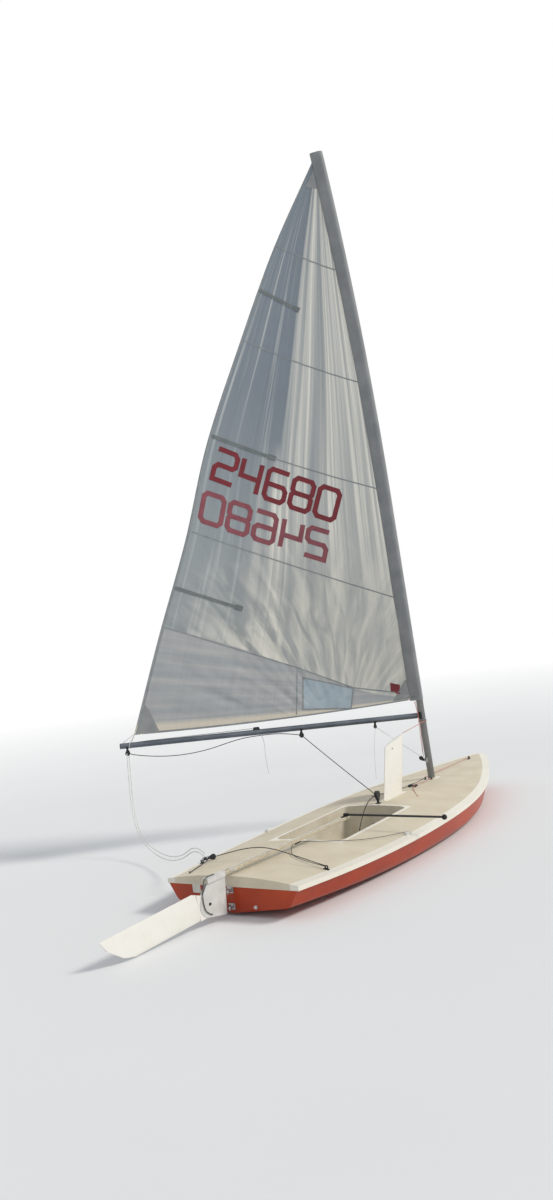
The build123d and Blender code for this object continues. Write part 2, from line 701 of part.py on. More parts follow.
def mast_saddle(wall, height, tall, from_x):
    """A bent plate round the back of the mast, as far forward as from_x."""
    inner = LOWER_RADIUS + FIT
    ring = Pos(0, 0, height - tall / 2) * extrude(Circle(inner + wall) - Circle(inner), tall)
    return ring & Pos(from_x + WIDE / 2, 0, height) * Box(WIDE, WIDE, tall)


def gooseneck():
    """A bracket round the back of the mast with a pin that points along the boom."""
    inner = LOWER_RADIUS + FIT
    boss = Pos(inner + 3, 0, GOOSENECK_HEIGHT) * Box(12, 22, 30)
    pin = on_boom(Pos(14, 0, 0) * Rot(0, 90, 0) * Cylinder(GOOSENECK_PIN, 40))
    mast = Pos(0, 0, GOOSENECK_HEIGHT) * Cylinder(inner, 90)
    return mast_saddle(3, GOOSENECK_HEIGHT, 64, 6) + (boss + pin - mast)


def mast_ear(height):
    """A riveted bracket with an ear, standing out from the back of the mast."""
    inner = LOWER_RADIUS + FIT
    root = Pos(inner + 1, height) * Rectangle(1, 34)
    ear = make_hull((Pos(inner + EAR_OUT, height) * Circle(9) + root).edges())
    hole = slab(Pos(inner + EAR_OUT, height) * Circle(EAR_BORE), 10)
    return mast_saddle(2.5, height, 44, 14) + slab(ear, EAR_THICK) - hole


def boom_saddle():
    """A strap under the boom that carries a block."""
    inner = BOOM_RADIUS + FIT
    wrap = extrude(Plane.YZ * (Circle(inner + 2.5) - Circle(inner)), 11, both=True)
    wrap = wrap & (Pos(0, 0, -WIDE / 2 - 8) * Box(WIDE, WIDE, WIDE))
    root = Pos(0, -inner - 1) * Rectangle(20, 1)
    ear = make_hull((Pos(0, -inner - BOOM_EAR) * Circle(8) + root).edges())
    return wrap + slab(ear, EAR_THICK) - slab(Pos(0, -inner - BOOM_EAR) * Circle(EAR_BORE), 10)


def boom_saddles():
    return on_boom(Compound([Pos(x, 0, 0) * boom_saddle() for x in (VANG_KEY, MID_BLOCK, END_BLOCK)]))


def astride(sheave, width):
    """A block whose head is split round an ear, with the pin that holds it there."""
    split = Box(40, EAR_THICK + 2 * FIT, 22)
    return block(sheave, width) - split + Rot(90, 0, 0) * Cylinder(EAR_BORE - 0.5, width)


def hung_block(x, sheave, width):
    """A block under its saddle, its head astride the saddle's ear."""
    eye_z = -BOOM_RADIUS - FIT - BOOM_EAR
    return on_boom(Pos(x, 0, eye_z) * astride(sheave, width))


def vang_lower_block():
    """The vang's cleat and block, on the ear behind the mast and pointing up at the boom."""
    eye = Vector(LOWER_RADIUS + FIT + EAR_OUT, 0, VANG_EAR_HEIGHT)
    key = boom_frame().from_local_coords(Vector(VANG_KEY, 0, -BOOM_RADIUS))
    reach = key - eye
    lean = degrees(atan2(reach.X, reach.Z))
    return Pos(eye) * Rot(0, lean + 180, 0) * astride(16, 20)


def outhaul_cleat():
    inner = BOOM_RADIUS + FIT
    body = jam_cleat(64, 18, 16)
    saddle = extrude(Plane.YZ * (Circle(inner + 6) - Circle(inner)), 32, both=True)
    saddle = saddle & (Pos(0, 0, inner + 4) * Box(64, 18, 20))
    return on_boom(Pos(CLEAT_ON_BOOM, 0, 0) * (saddle + Pos(0, 0, inner + 5) * body))


def build():
    nodes = {
        "hull_moulding": hull_moulding(),
        "deck_moulding": deck_moulding(),
        "cockpit_well": cockpit_well(),
        "daggerboard_trunk": trunk(),
        "mast_step": step_socket(),
        "rudder_gudgeons": gudgeons(),
        "drain_bung": drain_bung(),
        "self_bailer": self_bailer(),
        "traveller_eyes": pair_on_deck(pad_eye(6, 15, 8, 46, 18), *TRAVELLER_EYE, 90),
        "traveller_blocks": traveller_block(),
        "traveller_cleat": placed(on_deck(810, 0), jam_cleat(66, 22, 18)),
        "bow_eye": placed(on_deck(BOW_EYE_X, 0), pad_eye(8, 16, 8, 56, 20)),
        "side_cleats": pair_on_deck(jam_cleat(66, 24, 18), *SIDE_CLEAT, 10),
        "mainsheet_block": placed(on_deck(MAINSHEET_BLOCK_X, 0), mainsheet_block()),
        "hiking_strap": hiking_strap(),
    }
    cleat = jam_cleat(58, 24, 18)
    nodes["deck_cleats"] = Compound([placed(on_deck(DECK_CLEATS_X, side * 24), cleat) for side in (1, -1)])
    eye = pad_eye(5, 12, 6, 40, 16)
    nodes["mast_foot_eyes"] = Compound([placed(on_deck(MAST_X - 70, side * 30), eye) for side in (1, -1)])

    rig = {
        "mast_lower": mast_lower(),
        "mast_heel": mast_heel(),
        "mast_upper": mast_upper(),
        "mast_collars": mast_collars(),
        "masthead_cap": masthead_cap(),
        "gooseneck": gooseneck(),
        "boom": boom(),
        "boom_caps": boom_caps(),
        "boom_saddles": boom_saddles(),
        "mid_boom_block": hung_block(MID_BLOCK, 19, 18),
        "end_boom_block": hung_block(END_BLOCK, 19, 18),
        "vang_upper_block": hung_block(VANG_KEY, 12, 16),
        "vang_tang": mast_ear(VANG_EAR_HEIGHT),
        "vang_lower_block": vang_lower_block(),
        "outhaul_cleat": outhaul_cleat(),
        "sail": sail(),
    }
    nodes |= {name: placed(rig_frame, shape) for name, shape in rig.items()}

    joint, rod, grip = parts_of_extension()
    rudder = {
        "rudder_head": rudder_head(),
        "rudder_pintles": pintles(),
        "blade_bolt": blade_bolt(),
        "rudder_blade": rudder_blade(),
        "tiller": tiller(),
        "extension_joint": joint,
        "tiller_extension": rod,
        "extension_grip": grip,
    }
    nodes |= {name: placed(rudder_frame, shape) for name, shape in rudder.items()}
    nodes["daggerboard"] = daggerboard()
    return nodes


def daggerboard():
    """The board, with its fore edge on z in its own frame and its top cut on a slant."""
    top, bottom = BOARD_ABOVE, BOARD_ABOVE - BOARD_LENGTH
    fore, aft_edge = [(0, top), (0, bottom)], [(-BOARD_CHORD, bottom), (-BOARD_CHORD, top - BOARD_TOP_SLANT)]
    outline = make_face(Polyline(*fore, *aft_edge, close=True))
    outline = fillet(outline.vertices().sort_by(Axis.Y)[:2].sort_by(Axis.X)[-1], BOARD_TIP_ROUND)
    outline = fillet(outline.vertices().sort_by(Axis.Y)[-1], BOARD_HEAD_ROUND)
    board = slab(outline - Pos(*BOARD_HOLE) * Circle(9), BOARD_THICKNESS)
    return placed(board_frame, board) & slot(0, BOARD_LENGTH)


os.makedirs("parts", exist_ok=True)
for name, shape in build().items():
    export_step(Pos(-LOA / 2, 0, 0) * shape, f"parts/{name}.step")
    print(name, round(shape.volume / 1e6, 3), "litres")
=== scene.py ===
# %% [markdown]
# # A one-person sailing dinghy, afloat
#
# The hull, deck, spars, foils and fittings come in as a fixed frame, in metres: +X towards the
# bow, +Y to port, +Z up, with the waterline at z = 0. This script gives every one of them its
# finish, and models what is soft or thin: the sail with its sleeve, seams, battens, window and
# numbers, and the ropes.

# %% Load the frame
from math import atan2, cos, hypot, pi, radians, sin, sqrt

import bmesh
import bpy
from mathutils import Matrix, Vector, noise
from mathutils.bvhtree import BVHTree


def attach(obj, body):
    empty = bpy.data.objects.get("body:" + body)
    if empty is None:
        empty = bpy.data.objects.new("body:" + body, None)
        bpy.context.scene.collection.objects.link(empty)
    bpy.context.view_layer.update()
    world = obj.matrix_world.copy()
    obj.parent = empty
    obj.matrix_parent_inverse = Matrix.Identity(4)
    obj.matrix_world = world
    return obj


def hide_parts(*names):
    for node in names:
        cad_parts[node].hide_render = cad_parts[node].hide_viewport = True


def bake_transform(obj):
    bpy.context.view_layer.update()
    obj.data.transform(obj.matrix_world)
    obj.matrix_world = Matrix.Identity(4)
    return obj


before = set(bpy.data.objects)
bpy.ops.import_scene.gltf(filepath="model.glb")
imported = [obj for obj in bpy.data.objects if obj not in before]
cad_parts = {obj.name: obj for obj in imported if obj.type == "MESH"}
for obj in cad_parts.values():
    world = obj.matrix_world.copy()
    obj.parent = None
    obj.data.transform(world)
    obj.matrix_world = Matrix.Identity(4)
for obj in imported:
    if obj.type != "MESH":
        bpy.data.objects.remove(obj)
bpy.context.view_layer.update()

scene = bpy.context.scene

# %% [markdown]
# ## The camera
#
# The photograph was taken from a jetty, a little higher than the deck, with the phone held
# upright and turned a few degrees. A camera can be aimed by Euler angles or with a constraint.
# Here its matrix is built from its three axes, because the roll then stays easy to read: the
# view direction comes first, and the other two axes are turned about it.

# %% Camera
CAMERA_PLACE = Vector((-6.802, -3.891, 1.757))
CAMERA_YAW = 0.6055  # radians from +X towards +Y
CAMERA_PITCH = 0.0407
CAMERA_ROLL = -0.1244
CAMERA_LENS = 27.65  # millimetres on a frame 36 mm tall

ahead = Vector(
    (cos(CAMERA_PITCH) * cos(CAMERA_YAW), cos(CAMERA_PITCH) * sin(CAMERA_YAW), sin(CAMERA_PITCH))
)
level = ahead.cross(Vector((0, 0, 1))).normalized()
upright = level.cross(ahead)
across = level * cos(CAMERA_ROLL) + upright * sin(CAMERA_ROLL)
above = upright * cos(CAMERA_ROLL) - level * sin(CAMERA_ROLL)
camera = bpy.data.objects.new("camera", bpy.data.cameras.new("camera"))
camera.data.lens = CAMERA_LENS
camera.data.clip_end = 500
axes = Matrix((across, above, -ahead)).transposed()
camera.matrix_world = Matrix.Translation(CAMERA_PLACE) @ axes.to_4x4()
scene.collection.objects.link(camera)
scene.camera = camera
print("camera looks along", tuple(round(c, 3) for c in ahead))

# %% [markdown]
# ## Colours and nodes
#
# A colour picked by eye or from a chart is an sRGB value, but a shader works with linear light,
# so one function turns a hex code into linear numbers. Node trees can be built by hand in the
# editor or in code. One small function adds a node with its settings and links, and every shader
# in this file is made with it.

# %% Colour and node helpers
def linear(code):
    """A hex colour such as "D8C9AE" as linear red, green, blue and alpha."""
    parts = [int(code[i : i + 2], 16) / 255 for i in (0, 2, 4)]
    return tuple(c / 12.92 if c <= 0.04045 else ((c + 0.055) / 1.055) ** 2.4 for c in parts) + (1.0,)


def add(tree, kind, inputs=None, **settings):
    """Adds a shader node. An input is a value, or another node's output to link."""
    node = tree.nodes.new("ShaderNode" + kind)
    for name, value in settings.items():
        setattr(node, name, value)
    for socket, value in (inputs or {}).items():
        if isinstance(value, bpy.types.NodeSocket):
            tree.links.new(value, node.inputs[socket])
        else:
            node.inputs[socket].default_value = value
    return node


def blank(name):
    """A new material with only its output."""
    material = bpy.data.materials.new(name)
    material.use_nodes = True
    material.node_tree.nodes.clear()
    return material, material.node_tree


def finish_with(tree, shader):
    tree.links.new(shader.outputs[0], add(tree, "OutputMaterial").inputs["Surface"])


def paint(ramp, colours, places=(0, 1)):
    """Gives the two ends of a colour ramp their hex colours and places."""
    for end, code, place in zip(ramp.color_ramp.elements, colours, places):
        end.position = place
        end.color = linear(code)


print("a middle grey is", [round(c, 3) for c in linear("808080")])

# %% [markdown]
# ## Floor and light
#
# A boat afloat is cut by the water at its waterline, so the floor lies at z = 0 and hides what
# is under water. The sun in the photograph stands ahead and to starboard, which lights the side
# of the hull and leaves the transom in the shade. One broad sun lamp does that, and an even
# world fills the shadows. What the camera sees of the world is plain white, and so is what
# metal and clear film reflect or let through: the light on the boat isn't changed by it.

# %% Floor, sun and background
SUN_TOWARDS = Vector((0.35, -0.8, 0.72))
SUN_STRENGTH = 1.9
SUN_WIDTH = radians(14)
FILL = 0.62
FLOOR_SIZE = 300
PATCHES_A_METRE = 0.6
FADE_FROM, FADE_TO = 5, 22  # metres from the boat, where the floor turns into the white background

floor_material, tree = blank("studio_floor_matte")
place = add(tree, "TexCoord").outputs["Object"]
speckle = add(tree, "TexNoise", {"Vector": place, "Scale": PATCHES_A_METRE})
pale = add(tree, "ValToRGB", {"Fac": speckle.outputs["Fac"]})
paint(pale, ("E3E4E4", "EAEAE9"))
matte = add(tree, "BsdfPrincipled", {"Base Color": pale.outputs["Color"], "Roughness": 0.9})
away = add(tree, "VectorMath", {0: place}, operation="LENGTH").outputs["Value"]
far = add(tree, "MapRange", {"Value": away, "From Min": FADE_FROM, "From Max": FADE_TO}).outputs[0]
far = add(tree, "Math", {0: far, 1: add(tree, "LightPath").outputs["Is Camera Ray"]}, operation="MULTIPLY")
plain = add(tree, "Emission", {"Color": (1, 1, 1, 1), "Strength": 1.0})
finish_with(tree, add(tree, "MixShader", {0: far.outputs[0], 1: matte.outputs[0], 2: plain.outputs[0]}))

shape = bmesh.new()
bmesh.ops.create_grid(shape, x_segments=1, y_segments=1, size=FLOOR_SIZE / 2)
floor = bpy.data.objects.new("studio_floor", bpy.data.meshes.new("studio_floor"))
shape.to_mesh(floor.data)
shape.free()
floor.data.materials.append(floor_material)
scene.collection.objects.link(floor)

sun = bpy.data.objects.new("sun", bpy.data.lights.new("sun", "SUN"))
sun.data.energy = SUN_STRENGTH
sun.data.angle = SUN_WIDTH
sun.data.color = (1.0, 0.965, 0.91)
sun.rotation_euler = SUN_TOWARDS.to_track_quat("Z", "Y").to_euler()
scene.collection.objects.link(sun)

world = bpy.data.worlds.new("studio")
world.use_nodes = True
tree = world.node_tree
tree.nodes.clear()
path = add(tree, "LightPath")
seen = path.outputs["Is Camera Ray"]
for ray in ("Is Glossy Ray", "Is Transmission Ray"):
    seen = add(tree, "Math", {0: seen, 1: path.outputs[ray]}, operation="MAXIMUM").outputs[0]
fill = add(tree, "Background", {"Color": linear("EEF3FA"), "Strength": FILL})
white = add(tree, "Background", {"Color": (1, 1, 1, 1), "Strength": 1.0})
mixed = add(tree, "MixShader", {0: seen, 1: fill.outputs[0], 2: white.outputs[0]})
tree.links.new(mixed.outputs[0], add(tree, "OutputWorld").inputs["Surface"])
scene.world = world
scene.view_settings.view_transform = "Standard"
print("sun from", tuple(round(c, 2) for c in SUN_TOWARDS.normalized()))

# %% [markdown]
# ## Plain finishes
#
# Most fittings are moulded, cast, drawn or sewn from one stuff: black nylon, rubber, stainless
# steel, coated aluminium, polyester webbing and rope. Their colour still isn't even. It
# drifts over some centimetres, the surface has a fine grain, and the gloss changes with wear.
# A texture image could show that. Noise on the object's own coordinates does it without seams,
# and its scale is a real size: one over the size of a patch in metres.

# %% One function for an even stuff with drift, grain and gloss
MM = 0.001
DRIFT = (0.3, 0.7)  # noise seldom leaves these values, so the colours lie there


def stuff(name, dark, light, patch, grain, relief, rough, stretch=(1, 1, 1), **shader):
    """Colour drifts between two values over patch mm; grain mm wide stands relief mm high."""
    material, tree = blank(name)
    place = add(tree, "TexCoord").outputs["Object"]
    drift = add(tree, "TexNoise", {"Vector": place, "Scale": 1 / (patch * MM), "Detail": 3})
    ramp = add(tree, "ValToRGB", {"Fac": drift.outputs["Fac"]})
    paint(ramp, (dark, light), DRIFT)
    drawn = add(tree, "Mapping", {"Vector": place, "Scale": stretch})
    fine = add(tree, "TexNoise", {"Vector": drawn.outputs[0], "Scale": 1 / (grain * MM), "Detail": 2})
    gloss = add(tree, "MapRange", {"Value": drift.outputs["Fac"], "To Min": rough[0], "To Max": rough[1]})
    bump = add(tree, "Bump", {"Height": fine.outputs["Fac"], "Distance": relief * MM, "Strength": 1.0})
    inputs = {"Base Color": ramp.outputs["Color"], "Roughness": gloss.outputs[0], "Normal": bump.outputs[0]}
    finish_with(tree, add(tree, "BsdfPrincipled", inputs | shader))
    return material


# Moulded nylon: nearly black, greyer where the sun has dried it
nylon = stuff("moulded_nylon_black", "141517", "26282A", 30, 3, 0.15, (0.42, 0.6))
# Rubber: no gloss to speak of
rubber = stuff("neoprene_rubber_black", "0E0F10", "1B1C1D", 25, 2, 0.1, (0.7, 0.85))
# Stainless steel, bent from strip and brushed
steel = stuff(
    "stainless_steel_brushed", "A9ABAD", "C6C8C9", 40, 2, 0.05, (0.28, 0.42), (1, 1, 8), Metallic=1.0
)
# Cast aluminium with a pale powder coat: dull, with a slight orange peel
cast = stuff("cast_aluminium_powder_coated", "CBCAC5", "DBDAD6", 60, 5, 0.2, (0.4, 0.55))
# Webbing: ribs across its width, drawn 4 mm apart so that they show
webbing = stuff("polyester_webbing_black", "18191C", "2B2D31", 60, 4, 0.6, (0.75, 0.9), (1, 0.05, 1))
print("made", nylon.name, rubber.name, steel.name, cast.name, webbing.name)

# %% [markdown]
# ## Spars
#
# Mast and boom are drawn aluminium tubes with a clear anodised skin. Their grey is darker than
# bare clear anodising: that is painted shade, darkest and bluest on the boom. Drawing leaves faint
# lines along the tube. The mast stands upright and the boom lies along its own direction, so each
# gets the same recipe with its noise stretched the other way. A metal this matte reflects a
# broad soft highlight, which is what makes a round tube read as round.

# %% Anodised tube
ANODISED = 0.75  # how metallic the tube is under its clear skin
# Both tubes are painted darker than clear anodising: painted shade, deepest on the boom.
mast_tube = stuff(
    "aluminium_tube_upright_painted_shade", "6F7070", "868685", 260, 5, 0.06, (0.34, 0.48), (1, 1, 0.02), Metallic=ANODISED
)
boom_tube = stuff(
    "aluminium_tube_boom_painted_shade", "596069", "70767F", 200, 5, 0.06, (0.34, 0.5), (0.06, 0.06, 1), Metallic=ANODISED
)
print("spars:", mast_tube.name, boom_tube.name)

# %% [markdown]
# ## Gelcoat on the hull
#
# The hull is laid up in a polished mould, so its outer layer is a smooth, hard, orange-red
# polyester with a deep gloss. Sunlight bleaches it in soft clouds, and near the water it is
# darker. A coat layer over the colour gives the depth; the bleaching is low-contrast noise a
# quarter of a metre wide, and the darker part is a band that fades upwards.

# %% Hull gelcoat
# The side is darker near the water: how high that band reaches, and how far its edge wanders.
DARK_BAND = 0.06  # metres up the side
RAGGED = 0.03  # metres that the film's edge wanders
CLOUDS_A_METRE = 4.0
WAVES_A_METRE = 14.0  # along the film's edge
PEEL = 9  # mm between the dimples of the polish; the real ones are finer and wouldn't show

hull_gelcoat, tree = blank("polyester_gelcoat_orange")
place = add(tree, "TexCoord").outputs["Object"]
cloud = add(tree, "TexNoise", {"Vector": place, "Scale": CLOUDS_A_METRE, "Detail": 4})
bleached = add(tree, "ValToRGB", {"Fac": cloud.outputs["Fac"]})
paint(bleached, ("9C2E08", "B43D0A"), (0.3, 0.72))
height = add(tree, "SeparateXYZ", {"Vector": place}).outputs["Z"]
edge = add(tree, "TexNoise", {"Vector": place, "Scale": WAVES_A_METRE, "Detail": 3})
ragged = add(tree, "Math", {0: edge.outputs["Fac"], 1: RAGGED}, operation="MULTIPLY")
level_up = add(tree, "Math", {0: height, 1: ragged.outputs[0]}, operation="ADD")
# This share is 0 at the waterline, where the side is darker, and 1 at the top of the band.
film = add(tree, "MapRange", {"Value": level_up.outputs[0], "From Min": 0.0, "From Max": DARK_BAND})
side_colours = {0: film.outputs[0], 6: linear("7E2D14"), 7: bleached.outputs["Color"]}
darker_near_water = add(tree, "Mix", side_colours, data_type="RGBA")
orange_peel = add(tree, "TexNoise", {"Vector": place, "Scale": 1 / (PEEL * MM), "Detail": 1})
bump = add(tree, "Bump", {"Height": orange_peel.outputs["Fac"], "Distance": 0.08 * MM})
gloss = add(tree, "MapRange", {"Value": cloud.outputs["Fac"], "To Min": 0.3, "To Max": 0.48})
inputs = {"Base Color": darker_near_water.outputs[2], "Roughness": gloss.outputs[0], "Normal": bump.outputs[0]}
polish = {"Coat Weight": 0.15, "Coat Roughness": 0.15, "Specular IOR Level": 0.35}
finish_with(tree, add(tree, "BsdfPrincipled", inputs | polish))
print("hull:", hull_gelcoat.name)

# %% [markdown]
# ## Non-slip deck
#
# The deck's mould is textured where feet and knees go, so those fields come out matt and a
# little greyer, and a smooth border is left along the edge, round the cockpit, the board's slot
# and the mast. A mask painted by hand would need an image. Here it is arithmetic on the place
# on the deck: the edge is a curve of half beam against length, and the openings are boxes.

# %% Deck gelcoat
LENGTH = 4.23
HALF_BEAMS = (0.541, 0.617, 0.668, 0.693, 0.696, 0.672, 0.601, 0.464, 0.282, 0.052)
EDGE_BORDER = 0.062
OPENINGS = (  # middle x, half length, half width and border of the cockpit, the slot and the mast
    (-0.665, 0.535, 0.299, 0.022),
    (0.2, 0.165, 0.024, 0.015),
    (0.965, 0.04, 0.04, 0.025),
)
BORDER_EDGE = 0.004  # over this width the tread fades in
TREAD = 11  # mm between ridges; the real ones are about 4 mm apart and wouldn't show
WEAR_A_METRE = 5.0
WAVE = 20  # a wave texture at scale 1 has this many radians to a unit


def distance_to_box(tree, x, y, middle, half_length, half_width):
    """How far a place on the deck is outside an opening."""
    along = add(tree, "Math", {0: x, 1: middle}, operation="SUBTRACT")
    along = add(tree, "Math", {0: along.outputs[0]}, operation="ABSOLUTE")
    along = add(tree, "Math", {0: along.outputs[0], 1: half_length}, operation="SUBTRACT")
    sideways = add(tree, "Math", {0: y, 1: half_width}, operation="SUBTRACT")
    return add(tree, "Math", {0: along.outputs[0], 1: sideways.outputs[0]}, operation="MAXIMUM").outputs[0]


deck_gelcoat, tree = blank("polyester_gelcoat_cream_nonslip")
place = add(tree, "TexCoord").outputs["Object"]
parts = add(tree, "SeparateXYZ", {"Vector": place})
x, y = parts.outputs["X"], add(tree, "Math", {0: parts.outputs["Y"]}, operation="ABSOLUTE").outputs[0]
share = add(tree, "MapRange", {"Value": x, "From Min": -LENGTH / 2, "From Max": LENGTH / 2})
beam = add(tree, "FloatCurve", {"Value": share.outputs[0]})
curve = beam.mapping.curves[0]
curve.points[0].location = (0, HALF_BEAMS[0])
curve.points[1].location = (1, HALF_BEAMS[-1])
for number in range(1, len(HALF_BEAMS) - 1):
    curve.points.new(number / (len(HALF_BEAMS) - 1), HALF_BEAMS[number])
beam.mapping.update()
inside = add(tree, "Math", {0: beam.outputs[0], 1: y}, operation="SUBTRACT")
borders = [(inside.outputs[0], EDGE_BORDER)]
for middle, half_length, half_width, border in OPENINGS:
    borders.append((distance_to_box(tree, x, y, middle, half_length, half_width), border))
field = 1
for out, border in borders:
    clear = add(tree, "MapRange", {"Value": out, "From Min": border, "From Max": border + BORDER_EDGE})
    field = add(tree, "Math", {0: field, 1: clear.outputs[0]}, operation="MINIMUM").outputs[0]

turned = add(tree, "Mapping", {"Vector": place, "Rotation": (0, 0, pi / 4)}).outputs[0]
ridge_scale = 2 * pi / (WAVE * TREAD * MM)
ridges = [
    add(tree, "TexWave", {"Vector": turned, "Scale": ridge_scale}, bands_direction=way)
    for way in ("X", "Y")
]
tread = add(tree, "Math", {0: ridges[0].outputs["Fac"], 1: ridges[1].outputs["Fac"]}, operation="MULTIPLY")
raised = add(tree, "Math", {0: tread.outputs[0], 1: field}, operation="MULTIPLY")
wear = add(tree, "TexNoise", {"Vector": place, "Scale": WEAR_A_METRE, "Detail": 5})
smooth_part = add(tree, "ValToRGB", {"Fac": wear.outputs["Fac"]})
paint(smooth_part, ("E2DCCB", "EEE9DC"))
rough_part = add(tree, "ValToRGB", {"Fac": wear.outputs["Fac"]})
paint(rough_part, ("CDC1A8", "DCD2BD"), (0.25, 0.75))
deck_colours = {0: field, 6: smooth_part.outputs["Color"], 7: rough_part.outputs["Color"]}
both = add(tree, "Mix", deck_colours, data_type="RGBA")
gloss = add(tree, "MapRange", {"Value": field, "To Min": 0.32, "To Max": 0.7})
bump = add(tree, "Bump", {"Height": raised.outputs[0], "Distance": 0.9 * MM, "Strength": 0.9})
inputs = {"Base Color": both.outputs[2], "Roughness": gloss.outputs[0], "Normal": bump.outputs[0]}
finish_with(tree, add(tree, "BsdfPrincipled", inputs))
print("deck:", deck_gelcoat.name)

# %% [markdown]
# ## Smooth mouldings, foils and the tiller
#
# The cockpit, trunk and mast socket are the same cream gelcoat without tread, scuffed by shoes.
# The daggerboard and the rudder blade are moulded foam with an off-white skin, whose gloss is
# uneven from rubbing. The tiller is pale varnished ash: its grain runs along it, so noise that is
# stretched lengthways draws the year rings, and a clear coat stands for the varnish.

# %% Smooth gelcoat, foil skin and ash
well_gelcoat = stuff("polyester_gelcoat_cream_smooth", "C6BCA6", "D6CEBC", 120, 6, 0.08, (0.3, 0.5))
foil_skin = stuff(
    "foil_gelcoat_offwhite", "E8E5DB", "EDEAE2", 90, 8, 0.06, (0.22, 0.42), **{"Coat Weight": 0.3}
)

RING = 5  # mm between the year rings
GRAIN_TURN = radians(8)  # the plank's grain isn't quite in line with its length
ash, tree = blank("ash_varnished")
along_grain = {"Rotation": (0, 0, GRAIN_TURN), "Scale": (0.04, 1, 1)}
place = add(tree, "TexCoord").outputs["Object"]
drawn_out = add(tree, "Mapping", {"Vector": place} | along_grain).outputs[0]
rings = {"Vector": drawn_out, "Scale": 1 / (RING * MM), "Detail": 4, "Distortion": 0.6}
grain = add(tree, "TexNoise", rings)
ramp = add(tree, "ValToRGB", {"Fac": grain.outputs["Fac"]})
paint(ramp, ("AFA288", "CFC5AF"), (0.35, 0.68))
bump = add(tree, "Bump", {"Height": grain.outputs["Fac"], "Distance": 0.12 * MM})
inputs = {"Base Color": ramp.outputs["Color"], "Normal": bump.outputs[0], "Roughness": 0.42}
finish_with(tree, add(tree, "BsdfPrincipled", inputs | {"Coat Weight": 0.5, "Coat Roughness": 0.2}))
print("made", well_gelcoat.name, foil_skin.name, ash.name)

# %% [markdown]
# ## Each piece of the frame gets its finish
#
# The frame's pieces keep their shape, so only the material slots of their objects are filled.
# A table of names is clearer here than a rule, because most of the fittings are black nylon and
# the table then only has to name what isn't.

# %% Finishes of the frame's pieces
FINISHES = {
    "hull_moulding": hull_gelcoat,
    "deck_moulding": deck_gelcoat,
    "cockpit_well": well_gelcoat,
    "daggerboard_trunk": well_gelcoat,
    "mast_step": well_gelcoat,
    "hiking_strap": webbing,
    "mast_lower": mast_tube,
    "mast_upper": mast_tube,
    "boom": boom_tube,
    "rudder_head": cast,
    "drain_bung": cast,
    "side_cleats": cast,
    "tiller": ash,
    "extension_joint": rubber,
    "extension_grip": rubber,
    "rudder_blade": foil_skin,
    "daggerboard": foil_skin,
} | dict.fromkeys(
    ("rudder_gudgeons", "rudder_pintles", "vang_tang", "self_bailer"), steel
)
for name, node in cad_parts.items():
    node.data.materials.clear()
    node.data.materials.append(FINISHES.get(name, nylon))
print(len(FINISHES), "pieces named,", len(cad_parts) - len(FINISHES), "in black nylon")

# %% [markdown]
# ## Where the sail is
#
# The sail is easiest to describe in the plane of mast and boom: how far a place is out along
# the boom, how far it stands to windward of that plane, and how far up the mast it is. Three
# directions and the mast's foot turn those numbers into the frame's own coordinates. The edges
# come from a table of seams, from the foot to the head, and a smooth curve joins them.

# %% Rig directions and the sail's smooth belly
RAKE = radians(3.4)
SWING = radians(51.5)
MAST_FOOT = Vector((0.965, 0, 0.29364))
mast_up = Vector((-sin(RAKE), 0, cos(RAKE)))
straight_aft = (Vector((-1, 0, 0)) + mast_up * mast_up.x).normalized()
boom_way = straight_aft * cos(SWING) + Vector((0, 1, 0)) * sin(SWING)
windward = mast_up.cross(boom_way)

# Columns: height at the luff, out and height at the leech, depth as a share of the width, droop
SEAMS = (
    (0.745, 2.633, 0.849, 0.035, 0.042),
    (0.905, 2.278, 1.682, 0.075, 0.0),
    (1.550, 1.900, 2.515, 0.09, 0.0),
    (2.560, 1.572, 3.348, 0.09, 0.0),
    (3.590, 1.148, 4.181, 0.085, 0.0),
    (4.690, 0.695, 5.014, 0.07, 0.0),
    (5.770, 0.196, 5.790, 0.02, 0.0),
)
ROWS = len(SEAMS) - 1
LUFF_AFT = 0.012
JOINT_UP = 2.585  # the upper mast starts to bend here
UPPER_LENGTH = 3.258
MASTHEAD_UP = JOINT_UP + UPPER_LENGTH
MAST_BEND = 0.130
BEND_RADIUS = (UPPER_LENGTH**2 + MAST_BEND**2) / (2 * MAST_BEND)


def in_rig(out, side, up):
    """A place in the frame, from how far out, to windward and up it is in the rig."""
    return MAST_FOOT + boom_way * out + windward * side + mast_up * up


def mast_out(up):
    """How far the bent mast's middle lies aft of its foot."""
    return BEND_RADIUS - sqrt(BEND_RADIUS**2 - max(0, up - JOINT_UP) ** 2)


def seam_at(v):
    """The table's five columns at any v from 0 at the foot to ROWS at the head."""
    row = min(int(v), ROWS - 1)
    t = v - row
    before, here, there, after = (SEAMS[min(max(n, 0), ROWS)] for n in range(row - 1, row + 3))
    values = []
    for a, b, c, d in zip(before, here, there, after):
        leave = (c - b) if row == 0 else (c - a) / 2
        arrive = (c - b) if row == ROWS - 1 else (d - b) / 2
        values.append(
            b * (2 * t**3 - 3 * t**2 + 1)
            + leave * (t**3 - 2 * t**2 + t)
            + c * (3 * t**2 - 2 * t**3)
            + arrive * (t**3 - t**2)
        )
    return values


def belly(u, v):
    """Out, side and up of the smooth sail; u runs from luff to leech."""
    luff_up, leech_out, leech_up, depth, droop = seam_at(v)
    luff_out = mast_out(luff_up) + LUFF_AFT
    width = hypot(leech_out - luff_out, leech_up - luff_up)
    hang = 4 * u * (1 - u)
    side = -depth * width * hang
    return luff_out + (leech_out - luff_out) * u, side, luff_up + (leech_up - luff_up) * u - droop * hang


print("clew at", tuple(round(c, 3) for c in in_rig(*belly(1, 0))))

